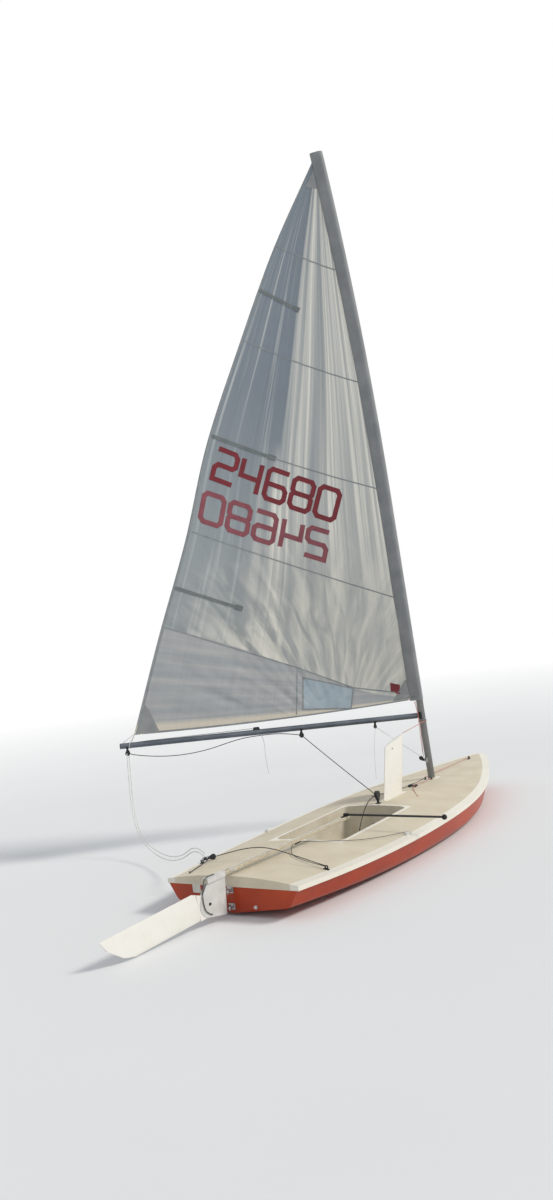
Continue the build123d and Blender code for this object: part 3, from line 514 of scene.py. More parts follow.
# %% [markdown]
# ## The cloth
#
# A small boat's sail is thin polyester cloth, soft enough to wrinkle all over when it isn't
# pulled tight. Cloth simulation would need the sail pinned along the mast and at the clew and
# blown by wind, and its wrinkles would come out somewhere else each time a value changed. Here
# the sheet is a grid that is laid on the smooth belly, and fixed noise pushes it in and out:
# long folds that fan down from the head, finer ones beside the mast, and low creases that run
# towards a place under the foot. They fade out at the edges, where the hem holds the cloth.
# Solidify gives it its thickness last.

# %% Folds of the cloth
CREASES_MEET = (0.74, 0.42)  # out and up, under the foot below the window
# Noise: how often it changes one way and the other, where it is read, and its height in metres
FROM_HEAD = (13, 0.3, 3.1, 0.015)
BY_MAST = (34, 0.55, 7.7, 0.010)
LOW_BROAD = (9, 1.6, 11.3, 0.012)
LOW_FINE = (21, 4, 2.4, 0.005)
TO_TACK = (3, 9, 5.9, 0.006)
HEM_GRIP = (18, 12, 3, 2.5)  # how soon the folds grow from the luff, leech, foot and head
LOW_START, LOW_END = (0.35, 0.3), (2.1, 0.8)  # metres from where they meet, and to fade over


def fan_of(out, up):
    """Angle from straight up, and distance, of a place as seen from where the low creases meet."""
    across, over = out - CREASES_MEET[0], up - CREASES_MEET[1]
    return atan2(across, over), hypot(across, over)


def wrinkle(kind, one_way, other_way):
    """The height of one kind of fold at a place, from its row above."""
    first, second, read_at, height = kind
    return noise.noise(Vector((first * one_way, second * other_way, read_at))) * height


def folds(u, v, out, up):
    """How far the wrinkled cloth stands off the smooth belly, in metres."""
    narrow = 0.35 + 0.65 * (1 - v / ROWS)
    hem = 1
    for grip, inside in zip(HEM_GRIP, (u, 1 - u, v, ROWS - v)):
        hem *= min(1, grip * inside)
    fan = wrinkle(FROM_HEAD, u, v) * narrow
    by_mast = wrinkle(BY_MAST, u, v) * narrow * (1 - 0.6 * u)
    angle, reach = fan_of(out, up)
    fade_in = (reach - LOW_START[0]) / LOW_START[1]
    fade_out = (LOW_END[0] - reach) / LOW_END[1]
    low = max(0, min(1, fade_in, fade_out)) * (abs(angle) < pi / 2)
    crumple = (wrinkle(LOW_BROAD, angle, reach) + wrinkle(LOW_FINE, angle, reach)) * low
    to_tack = wrinkle(TO_TACK, u, v) * max(0, 1 - v / 1.1)
    return hem * (fan + by_mast + crumple + to_tack)


print("the folds from the head stand up to", FROM_HEAD[-1] / MM, "mm off the belly")

# %% Two helpers for new pieces
def piece(name, shape, material, body):
    """Turns a bmesh into an object that rides on a body."""
    made = bpy.data.objects.new(name, bpy.data.meshes.new(name))
    shape.to_mesh(made.data)
    shape.free()
    made.data.materials.append(material)
    scene.collection.objects.link(made)
    if body:
        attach(made, body)
    return made


def smooth(thing):
    thing.data.polygons.foreach_set("use_smooth", [True] * len(thing.data.polygons))
    return thing


# %% [markdown]
# ## Sailcloth
#
# Polyester sailcloth is a tight plain weave, pressed smooth: white, a little translucent and
# with a dull sheen. The greys on it are painted shade: the half towards the leech is painted an
# even grey, darkest high up, and the panel along the boom is smooth and painted a lighter grey.
# Creases beside the mast carry painted cream highlights, and the cloth is painted lighter towards
# the luff. The pattern has to follow the cloth, so it reads the sheet's own UV map: U from luff to
# leech, V from foot to head. Streaks are noise that is stretched along V, or along U on the lowest
# panel. The weave's real threads are 0.3 mm apart; it is drawn at 6 mm so that it shows.

# %% Where the cloth's painted shade and highlights lie
sailcloth, tree = blank("polyester_sailcloth_white_painted_shade_and_highlights")
cloth_map = add(tree, "UVMap", uv_map="cloth").outputs[0]
fan_map = add(tree, "UVMap", uv_map="fan").outputs[0]
place = add(tree, "TexCoord").outputs["Object"]
split = add(tree, "SeparateXYZ", {"Vector": cloth_map})
u, v = split.outputs["X"], split.outputs["Y"]
reach = add(tree, "SeparateXYZ", {"Vector": fan_map}).outputs["Y"]

# The lowest seam, as v at some places of u, and how far a place is under it
LOWEST_SEAM = ((0.235, 0.62), (0.45, 0.89))
seam_line = add(tree, "FloatCurve", {"Value": u})
curve = seam_line.mapping.curves[0]
curve.points[0].location = (0, 0.02)
curve.points[1].location = (1, 1.117 / ROWS)
for at_u, at_row in LOWEST_SEAM:
    curve.points.new(at_u, at_row / ROWS)
seam_line.mapping.update()
under = add(tree, "Math", {0: seam_line.outputs[0], 1: v}, operation="SUBTRACT").outputs[0]

rays = add(tree, "Mapping", {"Vector": fan_map, "Scale": (13, 2.2, 1)}).outputs[0]
crumpled = add(tree, "TexNoise", {"Vector": rays, "Scale": 1.0, "Detail": 5, "Distortion": 0.7})
# Each share places painted shade or highlight: the leech is painted darker higher up, the crumpled cloth
# lighter towards the luff, and the crumple's creases get painted highlights.
SHARES = {  # the value that each share follows, where the share is 0, and where it is 1
    "low leech": (v, 0.62, 0.30),
    "near mast": (u, 0.34, 0.14),
    "low": (v, 0.55, 0.46),
    "off leech": (u, 0.76, 0.60),
    "luff half": (u, 0.60, 0.54),
    "towards luff": (u, 0.85, 0.15),
    "crease lit": (crumpled.outputs["Fac"], 0.40, 0.64),
    "crumple": (reach, 2.2, 1.3),
    "foot": (v, 0.024, 0.012),
    "panel": (under, 0.0, 0.004),
}
share = {
    name: add(tree, "MapRange", {"Value": value, "From Min": low, "From Max": high}).outputs[0]
    for name, (value, low, high) in SHARES.items()
}
TOGETHER = (  # name, how two shares are put together, and the two
    ("low off leech", "MULTIPLY", "low", "off leech"),
    ("luff or low", "MAXIMUM", "luff half", "low off leech"),
    ("crumple", "MULTIPLY", "crumple", 0.85),
)
for name, operation, *values in TOGETHER:
    inputs = {socket: share.get(value, value) for socket, value in enumerate(values)}
    share[name] = add(tree, "Math", inputs, operation=operation).outputs[0]
print("shares of the sail's colours:", len(share))


# %% Streaks, and the painted shade and highlights one over the other
def streaks(tree, across, along, shift, low, high):
    """Noise that is stretched along the sail, as a value from 0 to 1 between low and high."""
    stretched = {"Vector": cloth_map, "Scale": (across, along, 1), "Location": (shift, 0, 0)}
    drawn = add(tree, "Mapping", stretched).outputs[0]
    lines = add(tree, "TexNoise", {"Vector": drawn, "Scale": 1.0, "Detail": 3, "Distortion": 0.25})
    limits = {"Value": lines.outputs["Fac"], "From Min": low, "From Max": high}
    return add(tree, "MapRange", limits).outputs[0]


# The greys in this table are painted shade on the white cloth, and the light ends of the crease rows are
# painted highlights.
COLOURS = (  # name, share, and the colours where the share is 0 and 1: hex, or one named above
    ("leech", share["low leech"], "7F8992", "9BA2A5"),
    ("shaded leech half", streaks(tree, 42, 2.2, 0, 0.54, 0.74), "leech", "BDC2C1"),
    ("lit creases", streaks(tree, 44, 1.3, 5, 0.38, 0.58), "C0C2BE", "F9F5E9"),
    ("broad", streaks(tree, 11, 0.7, 2, 0.42, 0.60), "A8ADAE", "lit creases"),
    ("beside mast", share["near mast"], "broad", "lit creases"),
    ("smooth", share["luff or low"], "shaded leech half", "beside mast"),
    ("shaded crumple", share["towards luff"], "878E90", "C0C1BC"),
    ("crumpled", share["crease lit"], "shaded crumple", "E2DFD4"),
    ("upper", share["crumple"], "smooth", "crumpled"),
    ("panel", streaks(tree, 1.5, 60, 3, 0.35, 0.7), "A2A7AA", "B9B9B7"),
    ("panel and foot", share["foot"], "panel", "DDD4C3"),
    ("whole", share["panel"], "upper", "panel and foot"),
)
colour = {}
for name, where, first, second in COLOURS:
    ends = [colour[code] if code in colour else linear(code) for code in (first, second)]
    both = add(tree, "Mix", {0: where, 6: ends[0], 7: ends[1]}, data_type="RGBA")
    colour[name] = both.outputs[2]
print("colours on the sail:", len(colour))

# %% Weave and creases
THREAD = 6  # mm
weave_scale = 2 * pi / (WAVE * THREAD * MM)
threads = [
    add(tree, "TexWave", {"Vector": place, "Scale": weave_scale}, bands_direction=way).outputs["Fac"]
    for way in ("Z", "Y")
]
weave = add(tree, "Math", {0: threads[0], 1: threads[1]}, operation="ADD").outputs[0]
relief = {}
for height, millimetres, strength in (
    (streaks(tree, 60, 3.0, 9, 0.2, 0.8), 3.0, 1.0),
    (crumpled.outputs["Fac"], 5.0, 0.7),
    (weave, 0.1, 1.0),
):
    raised = {"Height": height, "Distance": millimetres * MM, "Strength": strength}
    relief = {"Normal": add(tree, "Bump", raised | relief).outputs[0]}
inputs = {"Base Color": colour["whole"], "Roughness": 0.55, "Sheen Weight": 0.15}
finish_with(tree, add(tree, "BsdfPrincipled", inputs | relief))
print("weave drawn at", THREAD, "mm")

# %% [markdown]
# ## The sheet
#
# A grid is made flat, gets two UV maps, and then every corner is moved to its place. The first map
# runs with the cloth, and the second holds the angle and distance from where the low creases
# meet, so that colour and relief follow the same rays as the folds.

# %% Lay the sheet on the belly
CLOTH_THICKNESS = 0.8 * MM
CELLS_ACROSS = 150
CELLS_UP = 290

shape = bmesh.new()
bmesh.ops.create_grid(shape, x_segments=CELLS_ACROSS, y_segments=CELLS_UP, size=0.5)
uv_layer = shape.loops.layers.uv.new("cloth")
fan_layer = shape.loops.layers.uv.new("fan")
for face in shape.faces:
    for corner in face.loops:
        u_here, v_here = corner.vert.co.x + 0.5, corner.vert.co.y + 0.5
        out, side, up = belly(u_here, v_here * ROWS)
        corner[uv_layer].uv = (u_here, v_here)
        corner[fan_layer].uv = fan_of(out, up)
for vertex in shape.verts:
    u_here, v_here = vertex.co.x + 0.5, (vertex.co.y + 0.5) * ROWS
    out, side, up = belly(u_here, v_here)
    vertex.co = in_rig(out, side + folds(u_here, v_here, out, up), up)
cloth_surface = BVHTree.FromBMesh(shape)
area = sum(face.calc_area() for face in shape.faces)
sail = smooth(piece("sail_cloth", shape, sailcloth, "rig"))
thick = sail.modifiers.new("thickness", "SOLIDIFY")
thick.thickness = CLOTH_THICKNESS
thick.offset = 0
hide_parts("sail")
print("sail of", round(area, 2), "square metres, in", len(sail.data.polygons), "cells")

# %% [markdown]
# ## Sleeve
#
# This sail has no track or hanks: its front edge is sewn into a long pocket that slides over the
# mast from above. Round the mast the pocket is a half circle, and behind it the two layers run
# together at a seam. A curve with a bevel would stay round, so one outline is extruded up the
# mast step by step and each ring is moved onto the bent mast. Small ripples show that the
# pocket is slack.

# %% Mast sleeve
SLEEVE_FOOT = 0.735
SLEEVE_RADIUS = 0.0362
SLEEVE_TAIL = 0.085  # where the two layers meet, aft of the mast's middle
SLEEVE_STEPS = 120
SLEEVE_POINTS = 28
SLEEVE_RIPPLE = 0.0016
SLEEVE_SLACK = 0.0004

# The sleeve is the sail's white cloth, doubled round the mast; its grey is painted shade.
sleeve_cloth = stuff("polyester_sleeve_white_painted_shade", "7C7F81", "8E9091", 160, 5, 0.4, (0.55, 0.7), (1, 1, 0.15))


def sleeve_point(number, up):
    """A place on the sleeve's outline: a round front that narrows to the seam behind."""
    angle = 2 * pi * number / SLEEVE_POINTS
    along, side = cos(angle), sin(angle)
    ripple = noise.noise(Vector((2 * along, 2 * side, 6 * up))) * SLEEVE_RIPPLE
    out = SLEEVE_RADIUS * along
    if along > 0:
        out = SLEEVE_RADIUS * along + (SLEEVE_TAIL - SLEEVE_RADIUS) * along**4
    v_here = min(ROWS, max(0, (up - SLEEVE_FOOT) / (MASTHEAD_UP - SLEEVE_FOOT) * ROWS))
    lean = belly(0.04, v_here)[1] * max(0, along) ** 4
    half_width = SLEEVE_RADIUS + ripple + SLEEVE_SLACK
    return in_rig(mast_out(up) + out, side * half_width + lean, up)


shape = bmesh.new()
ring = bmesh.ops.create_circle(shape, segments=SLEEVE_POINTS, radius=1)["verts"]
rise = (MASTHEAD_UP + 0.012 - SLEEVE_FOOT) / SLEEVE_STEPS
for step in range(SLEEVE_STEPS + 1):
    for number, vertex in enumerate(ring):
        vertex.co = sleeve_point(number, SLEEVE_FOOT + step * rise)
    if step < SLEEVE_STEPS:
        edges = [edge for edge in shape.edges if all(end in ring for end in edge.verts)]
        made = bmesh.ops.extrude_edge_only(shape, edges=edges)["geom"]
        ring = [item for item in made if isinstance(item, bmesh.types.BMVert)]
bmesh.ops.contextual_create(shape, geom=ring)
bmesh.ops.recalc_face_normals(shape, faces=shape.faces)
sleeve = smooth(piece("mast_sleeve", shape, sleeve_cloth, "rig"))
print("sleeve:", len(sleeve.data.polygons), "faces")

# %% [markdown]
# ## What is sewn and stuck on the sail
#
# Seams, hems, batten pockets, corner patches, the window and the number are flat pieces that
# follow the cloth's folds. Each is drawn in the plane of mast and boom, where its real sizes are
# easy to give, and then every corner is dropped onto the sheet by a ray that runs square to that
# plane. The result stands a little off the cloth. A shrinkwrap modifier could do the same, but
# the ray gives a finished mesh at once, on either side of the sail.

# %% Two tools for pieces on the cloth
LIFT = 1.9 * MM  # clear of the cloth's own thickness and of the facets between its corners
RUN = 0.014  # longest step along a strip
EDGE_SIDE = belly(0.5, 1)[1] * 0.2  # how far to leeward the cloth's edges lie, roughly


def on_cloth(out, up, side=1, lift=LIFT):
    """The place on the cloth at a place in the plane of mast and boom, lifted to one side."""
    start = in_rig(out, side, up)
    hit = cloth_surface.ray_cast(start, -windward * side)[0]
    if hit is None:  # just past an edge
        hit = cloth_surface.find_nearest(in_rig(out, EDGE_SIDE, up))[0]
    return hit + windward * side * lift


def add_strip(shape, path, width, side=1, lift=LIFT):
    """Adds a flat strip along a path of (out, up) places, with mitred corners."""
    places = [Vector(path[0])]
    for place in path[1:]:
        start, end = places[-1].copy(), Vector(place)
        count = max(1, int((end - start).length / RUN))
        places += [start.lerp(end, (n + 1) / count) for n in range(count)]
    ends, last = [], len(places) - 1
    closed = (places[0] - places[last]).length < MM
    for n, place in enumerate(places):
        before = places[n - 1] if n else places[last - 1] if closed else None
        after = places[n + 1] if n < last else places[1] if closed else None
        ways = [(place - before).normalized()] if before is not None else []
        ways += [(after - place).normalized()] if after is not None else []
        way = sum(ways, Vector((0, 0))).normalized()
        mitre = Vector((-way.y, way.x)) / max(0.5, way.dot(ways[0]))
        ends.append((place - mitre * width / 2, place + mitre * width / 2))
    line = [shape.verts.new(on_cloth(*end[0], side, lift)) for end in ends]
    edges = [shape.edges.new(pair) for pair in zip(line, line[1:])]
    made = bmesh.ops.extrude_edge_only(shape, edges=edges)["geom"]
    far = [item for item in made if isinstance(item, bmesh.types.BMVert)]
    for vertex in far:
        twin = min(range(len(line)), key=lambda n: (line[n].co - vertex.co).length)
        vertex.co = on_cloth(*ends[twin][1], side, lift)


def add_panel(shape, corners, cells, side=1, lift=LIFT):
    """Adds a four-cornered panel that follows the cloth."""
    made = bmesh.ops.create_grid(shape, x_segments=cells[0], y_segments=cells[1], size=0.5)["verts"]
    first, second, third, fourth = (Vector(corner) for corner in corners)
    for vertex in made:
        across, down = vertex.co.x + 0.5, vertex.co.y + 0.5
        place = first.lerp(second, across).lerp(fourth.lerp(third, across), down)
        vertex.co = on_cloth(*place, side, lift)


FILM = 0.3 * MM


def on_sail(name, shape, material):
    """The finished piece from a flat shape on the cloth."""
    bmesh.ops.recalc_face_normals(shape, faces=shape.faces)
    made = piece(name, shape, material, "rig")
    film = made.modifiers.new("thickness", "SOLIDIFY")
    film.thickness = FILM
    film.offset = 0


print("lift over the cloth:", LIFT / MM, "mm")

# %% [markdown]
# ## Seams, hems and battens
#
# The sail is cut from panels a metre wide. They overlap by a finger's width at each seam, where
# the doubled cloth lets less light through, so a seam is painted as a thin darker line: painted
# shade. The leech and the foot are folded over as hems, painted the same grey shade. Three short
# battens stiffen the leech, each in a pocket of doubled cloth with a small square patch at its
# inner end; pockets and patches are painted a darker grey, which is painted shade too.

# %% Seams, hems and batten pockets
SEAM_WIDTH = 0.011
PANEL_SEAMS = (
    ((0.655, 5.066), (0.145, 4.775)),
    ((1.085, 4.249), (0.53, 3.955), (0.062, 3.705)),
    ((1.52, 3.43), (0.968, 3.158), (0.05, 2.71)),
    ((1.828, 2.59), (0.9, 2.12), (0.05, 1.69)),
    ((2.225, 1.776), (1.05, 1.191), (0.576, 0.931), (0.09, 0.80)),
)
BATTENS = (
    ((0.535, 4.473), (0.865, 4.684)),
    ((0.968, 3.158), (1.505, 3.424)),
    ((1.494, 1.826), (2.06, 2.11)),
)
POCKET_WIDTH, POCKET_END = 0.03, 0.05
LEECH_HEM, FOOT_HEM = 0.014, 0.016
# The grey of seams, hems and pockets is painted shade on white cloth.
seam_cloth = stuff("doubled_cloth_seam_painted_shade", "84898B", "989D9D", 60, 4, 0.3, (0.55, 0.7))
pocket_cloth = stuff("doubled_cloth_pocket_painted_shade", "6A7070", "7A8080", 60, 4, 0.4, (0.55, 0.7))

shape = bmesh.new()
for side in (1, -1):
    for path in PANEL_SEAMS:
        add_strip(shape, path, SEAM_WIDTH, side)
on_sail("panel_seams", shape, seam_cloth)

shape = bmesh.new()
for side in (1, -1):
    for inner, outer in BATTENS:
        inner, outer = Vector(inner), Vector(outer)
        add_strip(shape, (inner, outer), POCKET_WIDTH, side, 2 * LIFT)
        add_strip(shape, (inner.lerp(outer, -0.03), inner.lerp(outer, 0.09)), POCKET_END, side)
on_sail("batten_pockets", shape, pocket_cloth)


def edge_place(u_here, v_here):
    """Out and up of a place on the smooth belly."""
    out, _, up = belly(u_here, v_here)
    return out, up


shape = bmesh.new()
for side in (1, -1):
    add_strip(shape, [edge_place(0.992, n / 40 * ROWS) for n in range(40)], LEECH_HEM, side)
    add_strip(shape, [edge_place(n / 30, 0.012) for n in range(1, 30)], FOOT_HEM, side)
on_sail("leech_and_foot_hems", shape, seam_cloth)
print("seams:", len(PANEL_SEAMS), "battens:", len(BATTENS))

# %% [markdown]
# ## Window and corner patches
#
# A clear film window lets the helm see to leeward. The clew, the tack and the head are built up
# from more cloth, because the ropes pull there, and a small plain square is stuck on near the
# tack. All of them could be faces cut into the sheet. As pieces of their own they keep a crisp
# edge, and the sheet stays a plain grid.

# %% Window and patches
window_film = stuff("clear_window_film", "9FAEB7", "B0BDC4", 90, 8, 0.4, (0.12, 0.22))
# The corner patches are white cloth built up in layers; their grey is painted shade.
patch_cloth = stuff("corner_patch_cloth_painted_shade", "8B8E8F", "9C9E9D", 70, 4, 0.4, (0.55, 0.7))
dark_red_film = stuff("number_film_dark_red", "6E1420", "7F1B27", 60, 5, 0.1, (0.4, 0.5))
dull_red = stuff("number_film_seen_through", "83434C", "915058", 60, 5, 0.1, (0.5, 0.6))

WINDOW = ((1.02, 1.095), (0.576, 0.925), (0.632, 0.751), (1.073, 0.81))
shape = bmesh.new()
for side in (1, -1):
    add_panel(shape, WINDOW, (24, 12), side)
on_sail("sail_window", shape, window_film)
shape = bmesh.new()
for side in (1, -1):
    add_strip(shape, WINDOW + WINDOW[:1], 0.012, side, 1.4 * LIFT)
    add_strip(shape, ((1.061, 1.185), (1.14, 0.775)), 0.008, side)
on_sail("window_stitching", shape, seam_cloth)

PATCHES = (  # corners and cells of the patches at the clew, the tack and the head
    (((2.503, 1.12), (2.47, 1.06), (2.40, 0.826), (2.612, 0.858)), (10, 14)),
    (((0.10, 0.93), (0.05, 0.93), (0.055, 0.76), (0.24, 0.755)), (8, 10)),
    (((0.165, 5.75), (0.30, 5.56), (0.16, 5.52), (0.145, 5.56)), (8, 8)),
)
SQUARE = ((0.235, 0.925), (0.150, 0.895), (0.160, 0.808), (0.243, 0.836))
shape = bmesh.new()
for side in (1, -1):
    for corners, cells in PATCHES:
        add_panel(shape, corners, cells, side)
on_sail("corner_patches", shape, patch_cloth)
shape = bmesh.new()
add_panel(shape, SQUARE, (6, 6))
on_sail("plain_square_by_tack", shape, dark_red_film)
print(len(PATCHES), "corner patches")

# %% [markdown]
# ## The number
#
# The number is generic: squared digits with strokes 45 mm wide, cut from film, one row for each
# side of the sail. The row on the far side shows through the cloth, reversed and duller, so each
# row is made twice. Text objects have rounder digits than such a sail. Here a digit is one or two
# paths on a cell that is one wide and one high, and strips follow them.

# %% The number
# Corners of a digit are cut at 0.12 of its height and 0.15 of its width
OVAL = ((0.15, 0), (0.85, 0), (1, 0.12), (1, 0.88), (0.85, 1), (0.15, 1), (0, 0.88), (0, 0.12), (0.15, 0))
DIGITS = {
    "0": (OVAL,),
    "2": (((0, 0), (0.85, 0), (1, 0.12), (1, 0.4), (0.85, 0.5), (0.15, 0.5), (0, 0.62), (0, 1), (1, 1)),),
    "4": (((0, 0), (0, 0.55), (1, 0.55)), ((0.92, 0), (0.92, 1))),
    "6": (
        ((1, 0), (0.15, 0), (0, 0.12), (0, 0.88), (0.15, 1))
        + ((0.85, 1), (1, 0.88), (1, 0.62), (0.85, 0.5), (0, 0.5)),
    ),
    "8": (
        ((0.15, 0), (0.85, 0), (1, 0.12), (1, 0.4), (0.9, 0.5), (1, 0.6), (1, 0.88), (0.85, 1))
        + ((0.15, 1), (0, 0.88), (0, 0.6), (0.1, 0.5), (0, 0.4), (0, 0.12), (0.15, 0)),
        ((0.1, 0.5), (0.9, 0.5)),
    ),
}
NUMBER = "24680"
DIGIT_WIDTH = 0.76  # of the distance from one digit to the next
STROKE = 0.045
# Corners of each row: towards the leech and up, towards the luff and up, towards the leech and down
FIRST_ROW = ((1.461, 3.307), (0.402, 2.753), (1.570, 3.051))
SECOND_ROW = ((1.652, 2.932), (0.566, 2.395), (1.739, 2.686))


def number_row(name, corners, reads_to_windward):
    """One row of digits: bright on the side that reads it, dull where it shows through."""
    start, end, low = (Vector(corner) for corner in corners)
    pitch = (end - start) / (len(NUMBER) - 1 + DIGIT_WIDTH)
    digits = NUMBER if reads_to_windward else NUMBER[::-1]
    for side in (1, -1):
        shape = bmesh.new()
        for number, digit in enumerate(digits):
            for path in DIGITS[digit]:
                drawn = []
                for across, down in path:
                    across = across if reads_to_windward else 1 - across
                    drawn.append(start + pitch * (number + across * DIGIT_WIDTH) + (low - start) * down)
                add_strip(shape, drawn, STROKE, side)
        bright = (side == 1) == reads_to_windward
        facing = "windward" if side == 1 else "leeward"
        on_sail(f"{name}_{facing}", shape, dark_red_film if bright else dull_red)


number_row("number_row_high", FIRST_ROW, True)
number_row("number_row_low", SECOND_ROW, False)

# %% [markdown]
# ## Ropes
#
# A rope is drawn as a smooth curve that a few points guide. The curve's bevel gives it its
# thickness, and then it becomes a mesh. Ropes that are made fast at both ends are part of the
# rigging, and they ride on the body that holds them. The mainsheet and the board's elastic join
# two bodies that move apart, so they ride on neither. Braided rope shows slanting strands; at
# this distance a rope is one or two pixels wide, so its braid is drawn as noise 4 mm wide. Three
# ends hang or lie free.

# %% Rope tools
BOOM_RISE = radians(3.7)
GOOSENECK_OUT, GOOSENECK_UP = 0.036, 0.591
BOOM_RADIUS = 0.0254
KNOT = 1.15  # its radius, as a share of the rope's diameter


def by_boom(along, side=0.0, over=0.0):
    """A place near the boom: along it from the gooseneck, to windward, and above its middle."""
    out = GOOSENECK_OUT + along * cos(BOOM_RISE) - over * sin(BOOM_RISE)
    return in_rig(out, side, GOOSENECK_UP + along * sin(BOOM_RISE) + over * cos(BOOM_RISE))


white_rope = stuff("braided_rope_white", "C9C9C4", "E6E5DF", 40, 4, 0.5, (0.7, 0.85))
black_rope = stuff("braided_rope_black", "1F2124", "33363A", 40, 4, 0.5, (0.7, 0.85))
pink_rope = stuff("braided_rope_faded_red", "B0695F", "C98F83", 40, 4, 0.5, (0.7, 0.85))
grey_rope = stuff("braided_rope_grey", "6F7377", "8B8F92", 40, 4, 0.5, (0.7, 0.85))


def mesh_of(drawn, thickness):
    """The mesh of a curve's object when its bevel has that thickness."""
    drawn.data.bevel_depth = thickness / 2
    bpy.context.view_layer.update()
    return bpy.data.meshes.new_from_object(drawn.evaluated_get(bpy.context.evaluated_depsgraph_get()))


def rope(name, points, diameter, material, body=None, knots=()):
    """A smooth round rope along its points, with a stopper knot at each place in knots.
    """
    curve = bpy.data.curves.new(name, "CURVE")
    curve.dimensions = "3D"
    curve.bevel_resolution = 2
    curve.resolution_u = 8
    curve.use_fill_caps = True
    line = curve.splines.new("NURBS")
    line.points.add(len(points) - 1)
    for point, place in zip(line.points, points):
        point.co = (*place, 1)
    line.order_u = 3
    line.use_endpoint_u = True
    drawn = bpy.data.objects.new(name + "_line", curve)
    scene.collection.objects.link(drawn)
    middle, mesh = (mesh_of(drawn, thickness) for thickness in (0, diameter))
    bpy.data.objects.remove(drawn)
    shape = bmesh.new()
    shape.from_mesh(mesh)
    made = smooth(piece(name, shape, material, body))
    for place in knots:
        shape = bmesh.new()
        bmesh.ops.create_icosphere(shape, subdivisions=2, radius=diameter * KNOT)
        bmesh.ops.translate(shape, verts=shape.verts, vec=place)
        smooth(piece(name + "_knot", shape, material, body))
    return made


print("boom end at", tuple(round(c, 3) for c in by_boom(2.735)))

# %% [markdown]
# ## Lines on the boom and the mast
#
# The clew is lashed to the boom's end and the outhaul runs from there to the cleat on top. The
# slack of the mainsheet droops under the boom between its blocks. The vang pulls the boom down
# towards the mast's foot with a small tackle, and two thin control lines run down the mast from
# the sail's tack. Two ends of white cord hang free.

# %% Boom and mast lines
EYE_DROP = BOOM_RADIUS + 0.0123  # from the boom's middle to a block's pin
clew = in_rig(2.612, 0.0, 0.868)
end_block = by_boom(2.68, 0, -EYE_DROP - 0.032)
mid_block = by_boom(1.092, 0, -EYE_DROP - 0.032)
vang_block = by_boom(0.406, 0, -EYE_DROP - 0.025)
vang_foot = in_rig(0.048 + 0.012, 0, 0.176 + 0.028)

by_clew = (
    [clew]
    + [by_boom(2.66, 0.03, 0.02), by_boom(2.655, 0.02, -0.028), by_boom(2.65, -0.02, -0.028)]
    + [by_boom(2.645, -0.03, 0.02), clew + boom_way * 0.004]
)
outhaul = [
    by_boom(2.742, 0, 0.012),
    by_boom(2.60, 0.012, BOOM_RADIUS + 0.004),
    by_boom(2.1, 0.008, BOOM_RADIUS + 0.004),
    by_boom(1.535, 0, BOOM_RADIUS + 0.012),
]
under_boom = (
    [end_block, by_boom(2.60, 0, -0.10)]
    + [in_rig(2.327, 0.01, 0.60), in_rig(2.02, 0.01, 0.60), in_rig(1.72, 0.01, 0.655)]
    + [by_boom(along, 0, -BOOM_RADIUS - 0.006) for along in (1.5, 1.25)]
    + [mid_block]
)
round_tack = [
    in_rig(out, side, up)
    for out, side, up in (
        (0.07, 0.012, 0.775),
        (0.0, 0.037, 0.765),
        (-0.037, 0.0, 0.765),
        (0.0, -0.037, 0.765),
        (0.07, -0.012, 0.775),
    )
]
rope("clew_lashing", by_clew, 0.005, white_rope, "rig")
rope("clew_tie", [clew, by_boom(2.70, 0.012, 0.034), by_boom(2.742, 0.0, 0.012)], 0.005, white_rope, "rig")
rope("outhaul", outhaul, 0.005, grey_rope, "rig")
rope("mainsheet_under_boom", under_boom, 0.007, black_rope, "rig")

boom_cord = [
    by_boom(1.46, 0.004, -BOOM_RADIUS - 0.004),
    in_rig(1.475, 0.008, 0.60),
    in_rig(1.49, 0.0, 0.45),
    in_rig(1.483, 0.004, 0.305),
]
vang_cord = [
    vang_block,
    in_rig(0.478, 0.006, 0.42),
    in_rig(0.50, 0.0, 0.25),
    in_rig(0.512, 0.004, 0.08),
]
rope("hanging_cord_boom", boom_cord, 0.005, white_rope, "rig", boom_cord[-1:])
rope("hanging_cord_vang", vang_cord, 0.003, white_rope, "rig", vang_cord[-1:])

for number, side in enumerate((-0.006, 0.006)):
    tackle = [place + windward * side for place in (vang_block, vang_block.lerp(vang_foot, 0.5), vang_foot)]
    rope(f"vang_tackle_{number}", tackle, 0.005, white_rope, "rig")
    downhaul = [
        in_rig(0.045 + 0.01 * number, 0.02, 0.73),
        in_rig(0.036, 0.031, 0.62),
        in_rig(0.038 + 0.014 * number, 0.031, 0.42),
        in_rig(0.048, 0.012, 0.21),
    ]
    rope(f"downhaul_{number}", downhaul, 0.004, pink_rope, "rig")
rope("tack_tie", round_tack, 0.004, grey_rope, "rig")
print("lines on the rig are in place")

# %% [markdown]
# ## Mainsheet, traveller and deck lines
#
# The mainsheet hangs slack: it drops from the boom's end nearly to the water and comes back up
# over the deck's edge to the traveller's block at the port quarter. Its other part runs from the
# middle of the boom down to the ratchet block ahead of the cockpit. The traveller is a line from
# quarter to quarter that passes over the tiller, and from starboard it returns to a cleat. Control
# lines cross the foredeck from the mast to their cleats, and one more goes forward to the bow eye.

# %% Mainsheet
BLOCK_PLACE = Vector((-1.69, 0.525, 0.262))
RATCHET = Vector((-0.07, 0.0, 0.345))

